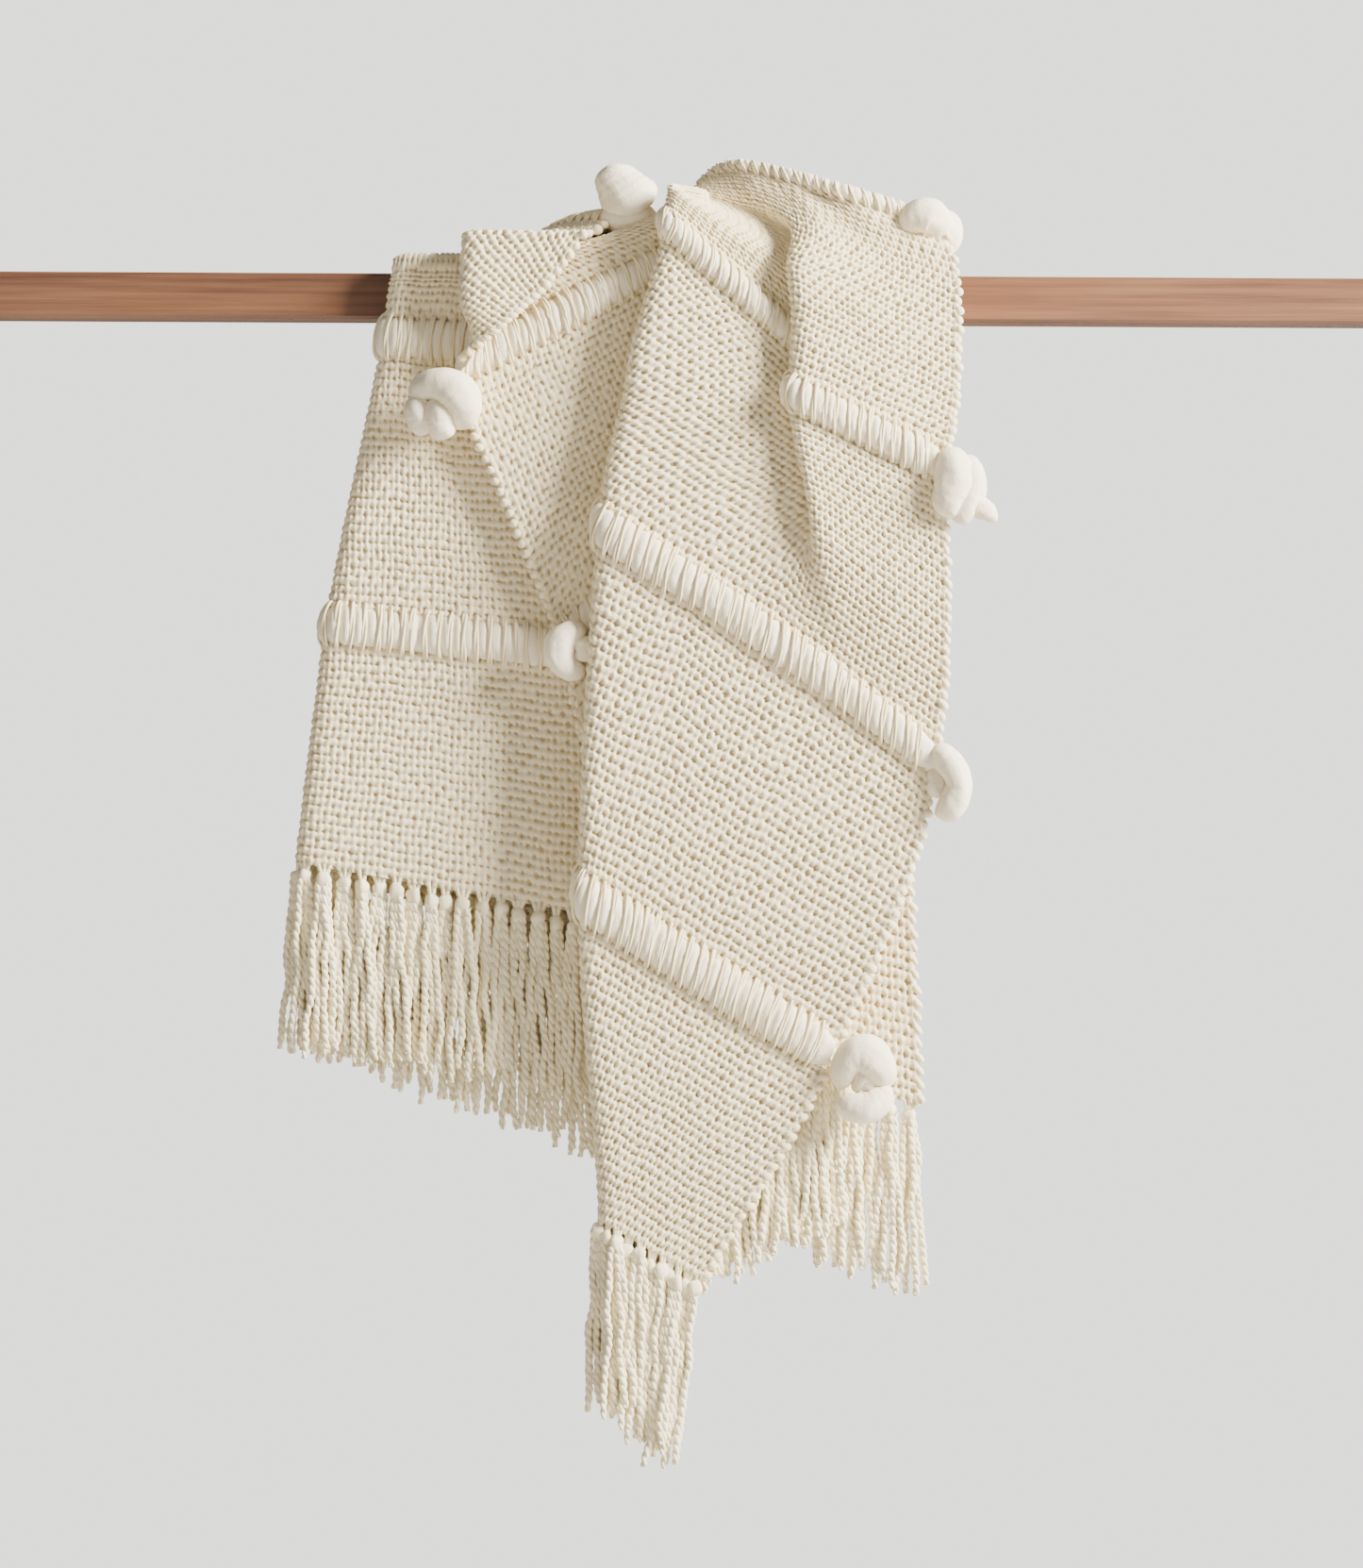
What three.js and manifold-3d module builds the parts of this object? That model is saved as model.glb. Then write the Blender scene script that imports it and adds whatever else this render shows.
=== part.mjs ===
// Hand-woven wool throw hung as a wall hanging over a square wooden rail.
// Millimetres. X runs along the rail, Y towards the wall, Z up.
// The throw is one cloth. It is described by the lines that its weft takes through space: each line
// is one weft from selvedge one to selvedge two, and the woven panels, the thick roving rows and the
// fringes are all lofted over those lines.
import * as THREE from "three";
import Module from "manifold-3d";
import { mergeVertices } from "three/addons/utils/BufferGeometryUtils.js";

// ---- Driving dimensions -------------------------------------------------------------------------

const RAIL_LENGTH = 1000;
const RAIL_SIDE = 30; // square batten
const RAIL_EDGE = 2; // eased long edges
const SEAT_INSET = 30; // from a rail end to the middle of its bracket seat

const WEAVE_THICKNESS = 5;
const ROVING_THICKNESS = 10; // where the row is pressed flat inside the folds
const ROVING_WIDTH = 24; // along the warp
const ROW_PITCH = 195; // from one roving row to the next, along the warp
const END_MARGIN = 165; // from the last roving row to the end of the cloth
const JOIN_GAP = 0.3; // between pieces that touch

const KNOT_DIAMETER = 48; // a roving row's tied end
const FRINGE_LENGTH = 122;
const FRINGE_THICKNESS = 5;

const RAIL_CLEARANCE = 1; // between the rail and the innermost layer
const LAYER_GAP = 2; // air between roving rows that lie on each other
const TOP_PITCH = WEAVE_THICKNESS + 1; // layers lie close together on top of the rail

// ---- Places worked out from them ----------------------------------------------------------------

const RAIL_HALF = RAIL_SIDE / 2;
const LAYER_PITCH = ROVING_THICKNESS + LAYER_GAP;

const WOOL = { color: 0xe6dcc6, roughness: 0.95, metalness: 0 };
const ROVING = { color: 0xf0e9da, roughness: 0.9, metalness: 0 };
const OAK = { color: 0x9a6a48, roughness: 0.6, metalness: 0 };

// Distance of layer n from the rail's middle, hanging beside it and lying on top of it.
const besideRail = (n) => RAIL_HALF + RAIL_CLEARANCE + LAYER_PITCH * (n + 0.5);
const aboveRail = (n) => RAIL_HALF + WEAVE_THICKNESS / 2 + RAIL_CLEARANCE + TOP_PITCH * n;

// A spot on a weft line, in layer n. Where a fold lies, "turn" is half the number of layers that the
// line steps through: it comes in at n + turn, goes round the spot and leaves at n - turn.
const HERE = new THREE.Vector3();
const spot = (x, y, z, n) => ({ p: new THREE.Vector3(x, y, z), n, turn: 0, layerStep: HERE });
const fold = (here, turn, layerStep) => ({ ...here, turn, layerStep });
const front = (x, z, n, turn = 0) =>
  fold(spot(x, -besideRail(n), z, n), turn, new THREE.Vector3(0, -LAYER_PITCH, 0));
const back = (x, z, n, turn = 0) =>
  fold(spot(x, besideRail(n), z, n), turn, new THREE.Vector3(0, LAYER_PITCH, 0));
const top = (x, y, n, lift = 0) => spot(x, y, aboveRail(n) + lift, n);
const topFold = (x, y, n, turn) => fold(top(x, y, n), turn, new THREE.Vector3(0, 0, TOP_PITCH));
const side = ({ p, n, turn, layerStep }, sign) => ({
  p: p.clone().addScaledVector(layerStep, sign * turn), n: n + sign * turn,
});

// ---- The drape: weft lines ----------------------------------------------------------------------

// Spots of a line, in order: selvedge one, two in the flap, left fold, two behind, pleat fold,
// pleat middle, front fold, front middle, valley fold, ridge fold, right middle, selvedge two.
// Null spots are spread evenly between their named neighbours.
const V_ROW = (k) => END_MARGIN + ROW_PITCH * k;
const LENGTH = V_ROW(7) + END_MARGIN;
const PART = (a, b, t) => a + (b - a) * t;

const WEFTS = [
  { v: 0, spots: [
    front(-30, -500, 2), null, null, front(-20, -498, 2), null, null, front(98, -478, 2.5, -0.5),
    front(-5, -528, 3), front(-52, -596, 3.5, -0.5), null, front(-25, -612, 4), front(-8, -622, 4),
    null, front(14, -635, 4)] },
  { v: V_ROW(0), spots: [
    front(-40, -420, 2), null, null, front(-30, -412, 2), null, null, front(105, -312, 2.5, -0.5),
    front(20, -345, 3), front(-67, -388, 3.5, -0.5), null, front(-10, -423, 4), front(40, -455, 4),
    null, front(97, -490, 4)] },
  { v: V_ROW(1), spots: [
    front(-78, -228, 2), null, null, front(-66, -216, 2), null, null, front(82, -78, 2.5, -0.5),
    front(10, -113, 3), front(-56, -150, 3.5, -0.5), null, front(20, -199, 4), front(90, -246, 4),
    null, front(163, -301, 4)] },
  { v: PART(V_ROW(1), V_ROW(2), 0.5), spots: [
    front(-112, -140, 2), null, null, front(-102, -132, 2), null, null, front(45, -28, 2.5, -0.5),
    front(5, -36, 3), front(-38, -46, 3.5, -0.5), null, front(98, -136, 4.2, -0.3),
    front(80, -146, 4.8, -0.3), null, front(169, -207, 4.3)] },
  { v: V_ROW(2), spots: [
    front(-147, -51, 2.3), null, null, front(-126, -38, 2), null, null, front(24, 38, 2.5, -0.5),
    front(6, 41, 3), front(-14, 45, 3.5, -0.5), null, front(104, -58, 3.5, -0.5),
    front(66, -66, 4.5, -0.5), null, front(166, -113, 4.6)] },
  { v: PART(V_ROW(2), V_ROW(3), 0.25), spots: [
    front(-119, -24, 3.3), null, null, front(-148, -8, 2.6, 0.6), front(-105, 18, 2),
    front(-55, 34, 2), front(18, 64, 2.3, -0.5), front(4, 66, 2.8), front(-13, 68, 3.3, -0.5), null,
    front(100, -12, 3.3, -0.5), front(68, -22, 4.4, -0.5), null, front(173, -75, 4.3)] },
  { v: PART(V_ROW(2), V_ROW(3), 0.5), spots: [
    front(-96, -2, 3), spot(-112, -52, 16, 3), spot(-130, -42, 30, 3), topFold(-147, -26, 2.5, 0.5),
    top(-110, -22, 2), top(-50, -20, 2, 3), top(16, -12, 2, 28), top(4, -26, 2, 33),
    top(-10, -42, 2, 37), null, front(88, 28, 3, -0.5), front(64, 18, 4.2, -0.5), null,
    front(175, -35, 4)] },
  { v: PART(V_ROW(2), V_ROW(3), 0.75), spots: [
    spot(-70, -48, 24, 3), top(-85, -34, 3, 3), top(-112, -8, 3, 2), topFold(-147, 20, 2.5, 0.5),
    top(-110, 22, 2), top(-50, 20, 2, 2), top(-12, 16, 2, 12), top(-4, 4, 2, 26),
    top(-6, -12, 2, 38), top(14, -28, 2, 38), spot(46, -46, 62, 2), spot(84, -64, 44, 3), null,
    spot(175, -66, 6, 3)] },
  { v: V_ROW(3), spots: [
    spot(-42, -30, 52, 3), spot(-74, 2, 49, 3), spot(-116, 56, 34, 3), back(-147, -8, 2.5, 0.5),
    back(-110, -12, 2), back(-65, -10, 2), spot(-15, 46, 20, 2), spot(5, 38, 55, 2),
    spot(14, 18, 76, 2), spot(24, -2, 85, 2), spot(36, -22, 84, 2), spot(64, -38, 76, 3),
    spot(100, -56, 64, 3), spot(163, -50, 46, 3)] },
  { v: PART(V_ROW(3), V_ROW(4), 0.33), spots: [
    spot(-14, 54, 44, 3), spot(-50, 58, 22, 3), back(-100, -25, 3), back(-147, -68, 2.5, 0.5),
    back(-110, -66, 2), back(-65, -58, 2), back(-20, -40, 2), back(20, -10, 2), spot(48, 40, 32, 2),
    spot(70, 26, 52, 2), spot(90, 8, 58, 2), spot(106, -8, 58, 2), spot(136, -20, 48, 2),
    spot(166, -20, 38, 2)] },
  { v: PART(V_ROW(3), V_ROW(4), 0.67), spots: [
    back(40, -28, 3), back(-10, -60, 3), back(-80, -105, 3), back(-147, -130, 2.5, 0.5),
    back(-110, -128, 2), back(-65, -120, 2), back(-20, -108, 2), back(20, -95, 2),
    back(58, -72, 2), back(88, -45, 2), back(112, -15, 2), spot(134, 42, 20, 2),
    spot(152, 24, 34, 2), spot(170, 8, 34, 2)] },
  { v: V_ROW(4), spots: [
    back(88, -85, 3), back(30, -110, 3), back(-60, -150, 3), back(-150, -185, 2.5, 0.5),
    back(-115, -180, 2), back(-80, -174, 2), back(-40, -165, 2), back(0, -155, 2),
    back(40, -142, 2), back(75, -128, 2), back(105, -112, 2), back(130, -97, 2), back(150, -82, 2),
    back(168, -68, 2)] },
  { v: PART(V_ROW(4), V_ROW(5), 0.28), spots: [
    back(110, -140, 3), back(45, -158, 3), back(-60, -195, 3), back(-158, -226, 2.5, 0.5),
    back(-122, -222, 2), back(-88, -215, 2), back(-50, -206, 2), back(-10, -197, 2),
    back(25, -188, 2), back(58, -180, 2), back(85, -171, 2), back(108, -163, 2), back(128, -155, 2),
    back(145, -148, 2)] },
  { v: PART(V_ROW(4), V_ROW(5), 0.4), spots: [
    back(122, -182, 1.5), back(50, -204, 1.5), back(-60, -228, 1.5),
    fold(spot(-166, besideRail(1.5), -240, 1.5), 0.5, new THREE.Vector3(0, 0, -LAYER_PITCH)),
    back(-130, -228, 1.5), back(-98, -222, 1.5), back(-64, -214, 1.5), back(-30, -207, 1.5),
    back(2, -200, 1.5), back(30, -194, 1.5), back(54, -188, 1.5), back(74, -182, 1.5),
    back(90, -178, 1.5), back(105, -174, 1.5)] },
  { v: PART(V_ROW(4), V_ROW(5), 0.52), spots: [
    back(132, -140, 0), back(50, -160, 0), back(-60, -192, 0), back(-172, -214, 0.5, -0.5),
    back(-140, -208, 1), back(-112, -203, 1), back(-84, -198, 1), back(-56, -192, 1),
    back(-30, -187, 1), back(-6, -182, 1), back(16, -178, 1), back(34, -174, 1), back(50, -170, 1),
    back(64, -166, 1)] },
  { v: V_ROW(5), spots: [
    back(160, -60, 0), null, null, back(-186, -92, 0.5, -0.5), ...Array(9).fill(null),
    back(-52, -74, 1)] },
  { v: V_ROW(6) - 98, spots: [
    back(162, 9, 0), null, null, back(-188, 9, 0.5, -0.5), ...Array(9).fill(null),
    back(-60, 9, 1)] },
  { v: V_ROW(6) - 46, spots: [
    front(160, 7, 0), null, null, front(-191, 10, 0.5, -0.5), ...Array(9).fill(null),
    front(-70, 9, 1)] },
  { v: V_ROW(6), spots: [
    front(158, -95, 0), null, null, front(-197, -29, 0.5, -0.5), ...Array(9).fill(null),
    front(-72, -38, 1)] },
  { v: V_ROW(7), spots: [
    front(148, -325, 0), null, null, front(-233, -214, 0.5, -0.5), ...Array(9).fill(null),
    front(-58, -232, 1)] },
  { v: LENGTH, spots: [
    front(156, -526, 0), front(60, -497, 0), front(-100, -420, 0), front(-252, -369, 0.5, -0.5),
    ...Array(9).fill(null), front(-54, -403, 1)] },
];

// Null spots are spread evenly between the named spots on either side of them.
function filled(spots) {
  return spots.map((here, i) => {
    if (here) return here;
    let a = i;
    let b = i;
    while (!spots[a]) a -= 1;
    while (!spots[b]) b += 1;
    const from = side(spots[a], -1);
    const to = side(spots[b], 1);
    const t = (i - a) / (b - a);
    const p = from.p.lerp(to.p, t);
    return spot(p.x, p.y, p.z, PART(from.n, to.n, t));
  });
}

// The point beside a spot on the way to a neighbour: at a fold, as far from it as the fold is deep.
function beside(here, neighbour, sign) {
  const { p, n } = side(here, sign);
  const way = side(neighbour, -sign).p.sub(p);
  if (!here.turn) return { p: p.addScaledVector(way, 1 / 3), n: PART(n, side(neighbour, -sign).n, 1 / 3) };
  const across = here.layerStep.clone().normalize();
  way.addScaledVector(across, -way.dot(across)).normalize();
  return { p: p.addScaledVector(way, here.layerStep.length() * Math.abs(here.turn)), n };
}

// Each inner spot gives three stations: before, at and after it.
function stations(spots) {
  const full = filled(spots);
  const out = [full[0]];
  for (let i = 1; i < full.length - 1; i += 1) {
    out.push(beside(full[i], full[i - 1], 1), full[i], beside(full[i], full[i + 1], -1));
  }
  out.push(full[full.length - 1]);
  return out.map(({ p, n }) => [p.x, p.y, p.z, n]);
}

const LINES = WEFTS.map(({ v, spots }) => ({ v, stations: stations(spots), spots: filled(spots) }));

// Moves a point that lies too near the rail straight out from its middle, as far as its layer needs.
function clearOfRail([x, y, z, n]) {
  const wide = besideRail(n) / Math.max(Math.abs(y), 0.1);
  const high = aboveRail(n) / Math.max(z, 0.1);
  const out = Math.max(Math.min(wide, high), 1);
  if (z <= 0) return z < -RAIL_HALF ? [x, y, z, n] : [x, y * out, z, n];
  return [x, y * out, z * out, n];
}

// The slope where two stretches meet, flat where they turn, so that the cubic never overshoots.
function evenSlope(one, other) {
  if (!Number.isFinite(one)) return other;
  if (!Number.isFinite(other)) return one;
  return one * other > 0 ? (2 * one * other) / (one + other) : 0;
}

// The stations of the weft at distance v along the warp, by a cubic through the lines beside it.
function weftAt(v) {
  let k = 0;
  while (k < LINES.length - 2 && LINES[k + 1].v <= v) k += 1;
  const [a, b] = [LINES[k], LINES[k + 1]];
  const before = LINES[Math.max(k - 1, 0)];
  const after = LINES[Math.min(k + 2, LINES.length - 1)];
  const step = b.v - a.v;
  const t = (v - a.v) / step;
  return a.stations.map((p, i) => clearOfRail(p.map((value, c) => {
    const end = b.stations[i][c];
    const rise = (end - value) / step;
    const leave = evenSlope((value - before.stations[i][c]) / (a.v - before.v), rise) * step;
    const arrive = evenSlope(rise, (after.stations[i][c] - end) / (after.v - b.v)) * step;
    const cubic = (2 * t ** 3 - 3 * t ** 2 + 1) * value + (t ** 3 - 2 * t ** 2 + t) * leave;
    return cubic + (3 * t ** 2 - 2 * t ** 3) * end + (t ** 3 - t ** 2) * arrive;
  })));
}

const FLAP_SPOTS = 3; // the flap bends over the rail, so it keeps every station

// Stations that a strip between two warp distances needs: all three where any line has a fold.
function stationsNeeded(v0, v1) {
  const near = LINES.filter(({ v }) => v > v0 - ROW_PITCH / 2 && v < v1 + ROW_PITCH / 2);
  const keep = [0];
  const last = LINES[0].stations.length - 1;
  for (let i = 1; i * 3 <= last; i += 1) {
    const middle = i * 3 - 1;
    const folded = near.some(({ spots }) => spots[i].turn);
    if (i <= FLAP_SPOTS || folded) keep.push(middle - 1, middle, middle + 1);
    else keep.push(middle);
  }
  keep.push(last);
  return keep;
}

// ---- Solids from grids --------------------------------------------------------------------------

// The points of a sheet's two faces: a grid of middle points, thickened by the half thickness of
// each of its rows.
function facePoints(grid, halfThickness, face) {
  const end = grid.length - 1;
  const last = grid[0].length - 1;
  const at = (j, i) => grid[Math.min(Math.max(j, 0), end)][Math.min(Math.max(i, 0), last)];
  return grid.map((row, j) => row.map((p, i) => {
    const across = at(j, i + 1).clone().sub(at(j, i - 1));
    const along = at(j + 1, i).clone().sub(at(j - 1, i));
    return p.clone().addScaledVector(across.cross(along).normalize(), face * halfThickness[j]);
  }));
}

// A closed sheet between the two faces, from column "first" to column "last".
function sheetGeometry(upper, lower, first, last) {
  const end = upper.length - 1;
  const columns = upper[0].length;
  const index = [];
  const vertex = (layer, j, i) => (layer * (end + 1) + j) * columns + i;
  const quad = (a, b, c, d) => index.push(a, b, c, a, c, d);
  for (let j = 0; j < end; j += 1) {
    for (let i = first; i < last; i += 1) {
      quad(vertex(0, j, i), vertex(0, j, i + 1), vertex(0, j + 1, i + 1), vertex(0, j + 1, i));
      quad(vertex(1, j, i), vertex(1, j + 1, i), vertex(1, j + 1, i + 1), vertex(1, j, i + 1));
    }
    quad(vertex(0, j + 1, first), vertex(1, j + 1, first), vertex(1, j, first), vertex(0, j, first));
    quad(vertex(0, j, last), vertex(1, j, last), vertex(1, j + 1, last), vertex(0, j + 1, last));
  }
  for (let i = first; i < last; i += 1) {
    quad(vertex(0, 0, i), vertex(1, 0, i), vertex(1, 0, i + 1), vertex(0, 0, i + 1));
    quad(vertex(0, end, i + 1), vertex(1, end, i + 1), vertex(1, end, i), vertex(0, end, i));
  }
  const geometry = new THREE.BufferGeometry().setFromPoints([...upper.flat(), ...lower.flat()]);
  geometry.setIndex(index);
  return geometry;
}

const toVector = ([x, y, z]) => new THREE.Vector3(x, y, z);

function clothGrid(v0, v1, steps) {
  const keep = stationsNeeded(v0, v1);
  const grid = [];
  for (let j = 0; j <= steps; j += 1) {
    const weft = weftAt(PART(v0, v1, j / steps));
    grid.push(keep.map((i) => toVector(weft[i])));
  }
  return grid;
}

const wasm = await Module();
wasm.setup();

const ONE_POINT = 1e-3; // points closer than this are one point
const CLEANINGS = 3;

function solidOf(geometry) {
  const bare = geometry.clone();
  bare.deleteAttribute("normal");
  bare.deleteAttribute("uv");
  const merged = mergeVertices(bare, ONE_POINT);
  return new wasm.Manifold(new wasm.Mesh({
    numProp: 3,
    vertProperties: new Float32Array(merged.attributes.position.array),
    triVerts: new Uint32Array(merged.index.array),
  }));
}

function geometryOf(solid) {
  const { vertProperties, triVerts } = solid.getMesh();
  const position = [...vertProperties];
  const geometry = new THREE.BufferGeometry();
  geometry.setAttribute("position", new THREE.Float32BufferAttribute(position, 3));
  geometry.setIndex([...triVerts]);
  return geometry;
}

// Cuts a soft solid back from the others that press into it, and keeps the one main body.
function pressedBy(solid, others) {
  let rest = solid;
  for (const other of others) {
    if (rest.intersect(other).volume() > 0) rest = rest.subtract(other);
  }
  // Points that lie close together join up, which can split a crumb off, so this is done again.
  const largest = (body) => body.decompose().sort((a, b) => b.volume() - a.volume())[0];
  for (let i = 0; i < CLEANINGS; i += 1) rest = solidOf(geometryOf(largest(rest)));
  return geometryOf(largest(rest));
}

// ---- Pieces -------------------------------------------------------------------------------------

const hanging = new THREE.Group();
const drape = new THREE.Group();
hanging.add(drape);

function addMesh(parent, name, geometry, look) {
  const mesh = new THREE.Mesh(geometry, new THREE.MeshStandardMaterial(look));
  mesh.name = name;
  parent.add(mesh);
  return mesh;
}

function addRail() {
  const outline = new THREE.Shape();
  const h = RAIL_HALF;
  const e = RAIL_EDGE;
  outline.moveTo(-h + e, -h);
  outline.lineTo(h - e, -h).lineTo(h, -h + e).lineTo(h, h - e).lineTo(h - e, h);
  outline.lineTo(-h + e, h).lineTo(-h, h - e).lineTo(-h, -h + e).closePath();
  const geometry = new THREE.ExtrudeGeometry(outline, { depth: RAIL_LENGTH, bevelEnabled: false });
  const rail = addMesh(hanging, "hanging_rail", geometry, OAK);
  rail.rotation.set(0, Math.PI / 2, 0);
  rail.position.x = -RAIL_LENGTH / 2;
}

// Woven panels and the roving rows between them, from the front end of the cloth to the other end.
const PANELS = [
  { name: "woven_front_hem", steps: 3 },
  { name: "woven_front_lower", steps: 3 },
  { name: "woven_front_upper", steps: 6 },
  { name: "woven_rail_crossing", steps: 16 },
  { name: "woven_back_fall", steps: 12 },
  { name: "woven_back_loop", steps: 10 },
  { name: "woven_left_crossing", steps: 20 },
  { name: "woven_left_upper", steps: 3 },
  { name: "woven_left_hem", steps: 3 },
];
const ROWS = [
  "roving_front_low", "roving_front_middle", "roving_front_high", "roving_rail_top",
  "roving_back_fall", "roving_back_rise", "roving_left_high", "roving_left_low",
];
const ROW_PROFILE = [0.3, 0.85, 1, 0.85, 0.3]; // thickness across the row, of its full thickness

// A sheet, and the room that it takes with the join gap on both of its faces. The room is added up
// strip by strip, so that it is sound inside tight folds too.
function sheetOf(name, grid, halves) {
  const last = grid[0].length - 1;
  const solid = solidOf(sheetGeometry(facePoints(grid, halves, 1), facePoints(grid, halves, -1), 0, last));
  const wide = halves.map((half) => half + JOIN_GAP);
  const upper = facePoints(grid, wide, 1);
  const lower = facePoints(grid, wide, -1);
  let room = solidOf(sheetGeometry(upper, lower, 0, 1));
  for (let i = 1; i < last; i += 1) room = room.add(solidOf(sheetGeometry(upper, lower, i, i + 1)));
  return { name, solid, room };
}

function rowSheets() {
  const halves = ROW_PROFILE.map((part) => (part * ROVING_THICKNESS) / 2);
  return ROWS.map((name, k) => {
    const v = V_ROW(k);
    const grid = clothGrid(v - ROVING_WIDTH / 2, v + ROVING_WIDTH / 2, halves.length - 1);
    return sheetOf(name, grid, halves);
  });
}

function panelSheets() {
  return PANELS.map(({ name, steps }, k) => {
    const v0 = k === 0 ? 0 : V_ROW(k - 1) + ROVING_WIDTH / 2 + JOIN_GAP;
    const v1 = k === PANELS.length - 1 ? LENGTH : V_ROW(k) - ROVING_WIDTH / 2 - JOIN_GAP;
    const grid = clothGrid(v0, v1, steps);
    const halves = Array(steps + 1).fill(WEAVE_THICKNESS / 2);
    return sheetOf(name, grid, halves);
  });
}

// Fringes hang straight down from the two end wefts. Each takes a run of stations on its weft.
const FRINGES = [
  { name: "fringe_front", end: 0, from: 24, to: 37 },
  { name: "fringe_front_under", end: 0, from: 18, to: 22 },
  { name: "fringe_front_behind", end: 0, from: 0, to: 16 },
  { name: "fringe_left", end: LENGTH, from: 12, to: 31 },
  { name: "fringe_left_under", end: LENGTH, from: 31, to: 37, inset: 1 },
  { name: "fringe_left_behind", end: LENGTH, from: 7, to: 10 },
  { name: "fringe_middle", end: LENGTH, from: 3, to: 6, inset: 1 },
  { name: "fringe_right", end: LENGTH, from: 0, to: 3, inset: 1 },
];

const INSET_PART = 0.02; // of a station's length, kept free where one fringe follows another

function addFringes(rooms) {
  for (const { name, end, from, to, inset = 0 } of FRINGES) {
    const weft = weftAt(end);
    const keep = stationsNeeded(end, end).filter((i) => i >= from && i <= to);
    const edge = keep.map((i) => toVector(weft[i]));
    if (inset) {
      const last = edge.length - 1;
      if (from > 0) edge[0].lerp(edge[1], INSET_PART);
      edge[last].lerp(edge[last - 1], INSET_PART);
    }
    const grid = [0, 0.5, 1].map((part) =>
      edge.map(({ x, y, z }) => new THREE.Vector3(x, y, z - JOIN_GAP - part * FRINGE_LENGTH)));
    const halves = Array(3).fill(FRINGE_THICKNESS / 2);
    const { solid } = sheetOf(name, end ? grid : grid.reverse(), halves);
    addMesh(drape, name, pressedBy(solid, rooms), WOOL);
  }
}

// The tied ends of the roving rows. Free ones are nearly round, and those between two layers are
// pressed as flat as the layers leave room for.
const ROUND = [1, 0.92, 1];
const TALL = [0.7, 0.76, 1.08];
const PRESSED = [0.62, 0.27, 0.83];
const BEHIND = [0.62, 0.64, 0.8];
const KNOTS = [
  { name: "front_low_knot_a", at: front(-50, -423, 2), shape: [0.5, 0.27, 0.83] },
  { name: "front_low_knot_b", at: front(111, -508, 4.3), shape: [0.88, 0.84, 1.12] },
  { name: "front_middle_knot_a", at: front(-90, -231, 2.8), shape: [0.72, 0.62, 0.88] },
  { name: "front_middle_knot_b", at: front(175, -313, 4.2), shape: TALL },
  { name: "front_high_knot_a", at: front(-157, -75, 3.3), shape: [0.98, 0.9, 0.92] },
  { name: "front_high_knot_b", at: front(181, -124, 4.8), shape: TALL },
  { name: "rail_top_knot_a", at: top(-36, -34, 3, 32), shape: [0.84, 0.8, 0.94] },
  { name: "rail_top_knot_b", at: top(164, -56, 3, 13), shape: [0.88, 0.84, 0.72] },
  { name: "back_fall_knot_a", at: back(101, -82, 4.2), shape: [0.84, 0.76, 0.84] },
  { name: "back_fall_knot_b", at: back(151, -72, 3.6), shape: [0.8, 0.76, 0.84] },
  { name: "back_rise_knot_a", at: back(150, -64, 1), shape: PRESSED },
  { name: "back_rise_knot_b", at: back(-36, -76, 1), shape: PRESSED },
  { name: "left_high_knot_a", at: front(148, -98, 1.5), shape: BEHIND },
  { name: "left_high_knot_b", at: front(-60, -40, 1), shape: PRESSED },
  { name: "left_low_knot_a", at: front(136, -328, 1.5), shape: BEHIND },
  { name: "left_low_knot_b", at: front(-46, -233, 1), shape: PRESSED },
];

function addKnots(rooms) {
  for (const { name, at, shape } of KNOTS) {
    const ball = new THREE.SphereGeometry(KNOT_DIAMETER / 2, 10, 7);
    ball.rotateX(Math.PI / 2).scale(...shape).translate(at.p.x, at.p.y, at.p.z);
    addMesh(drape, "roving_" + name, pressedBy(solidOf(ball), rooms), ROVING);
  }
}

function addCloth() {
  const rows = rowSheets();
  const panels = panelSheets();
  panels.forEach(({ name, solid }, k) => {
    const others = [...rows, ...panels.slice(k + 1)].flatMap(({ room, solid: core }) => [room, core]);
    addMesh(drape, name, pressedBy(solid, others), WOOL);
  });
  rows.forEach(({ name, solid }, k) => {
    const others = rows.slice(k + 1).flatMap(({ room, solid: core }) => [room, core]);
    addMesh(drape, name, pressedBy(solid, others), ROVING);
  });
  const rooms = [...rows, ...panels].flatMap(({ room, solid }) => [room, solid]);
  addKnots(rooms);
  addFringes(rooms);
}

addRail();
addCloth();

// The origin is the middle of the seat under the rail's left end.
hanging.position.set(RAIL_LENGTH / 2 - SEAT_INSET, 0, RAIL_HALF);

export default hanging;
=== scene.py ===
"""Builds the visible throw and its rail on the loaded frame: a hand-woven wool throw over a rail."""
import math

import bpy
import numpy as np
from bpy.props import FloatProperty, FloatVectorProperty, IntProperty, PointerProperty
from mathutils import Matrix, Vector


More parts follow.
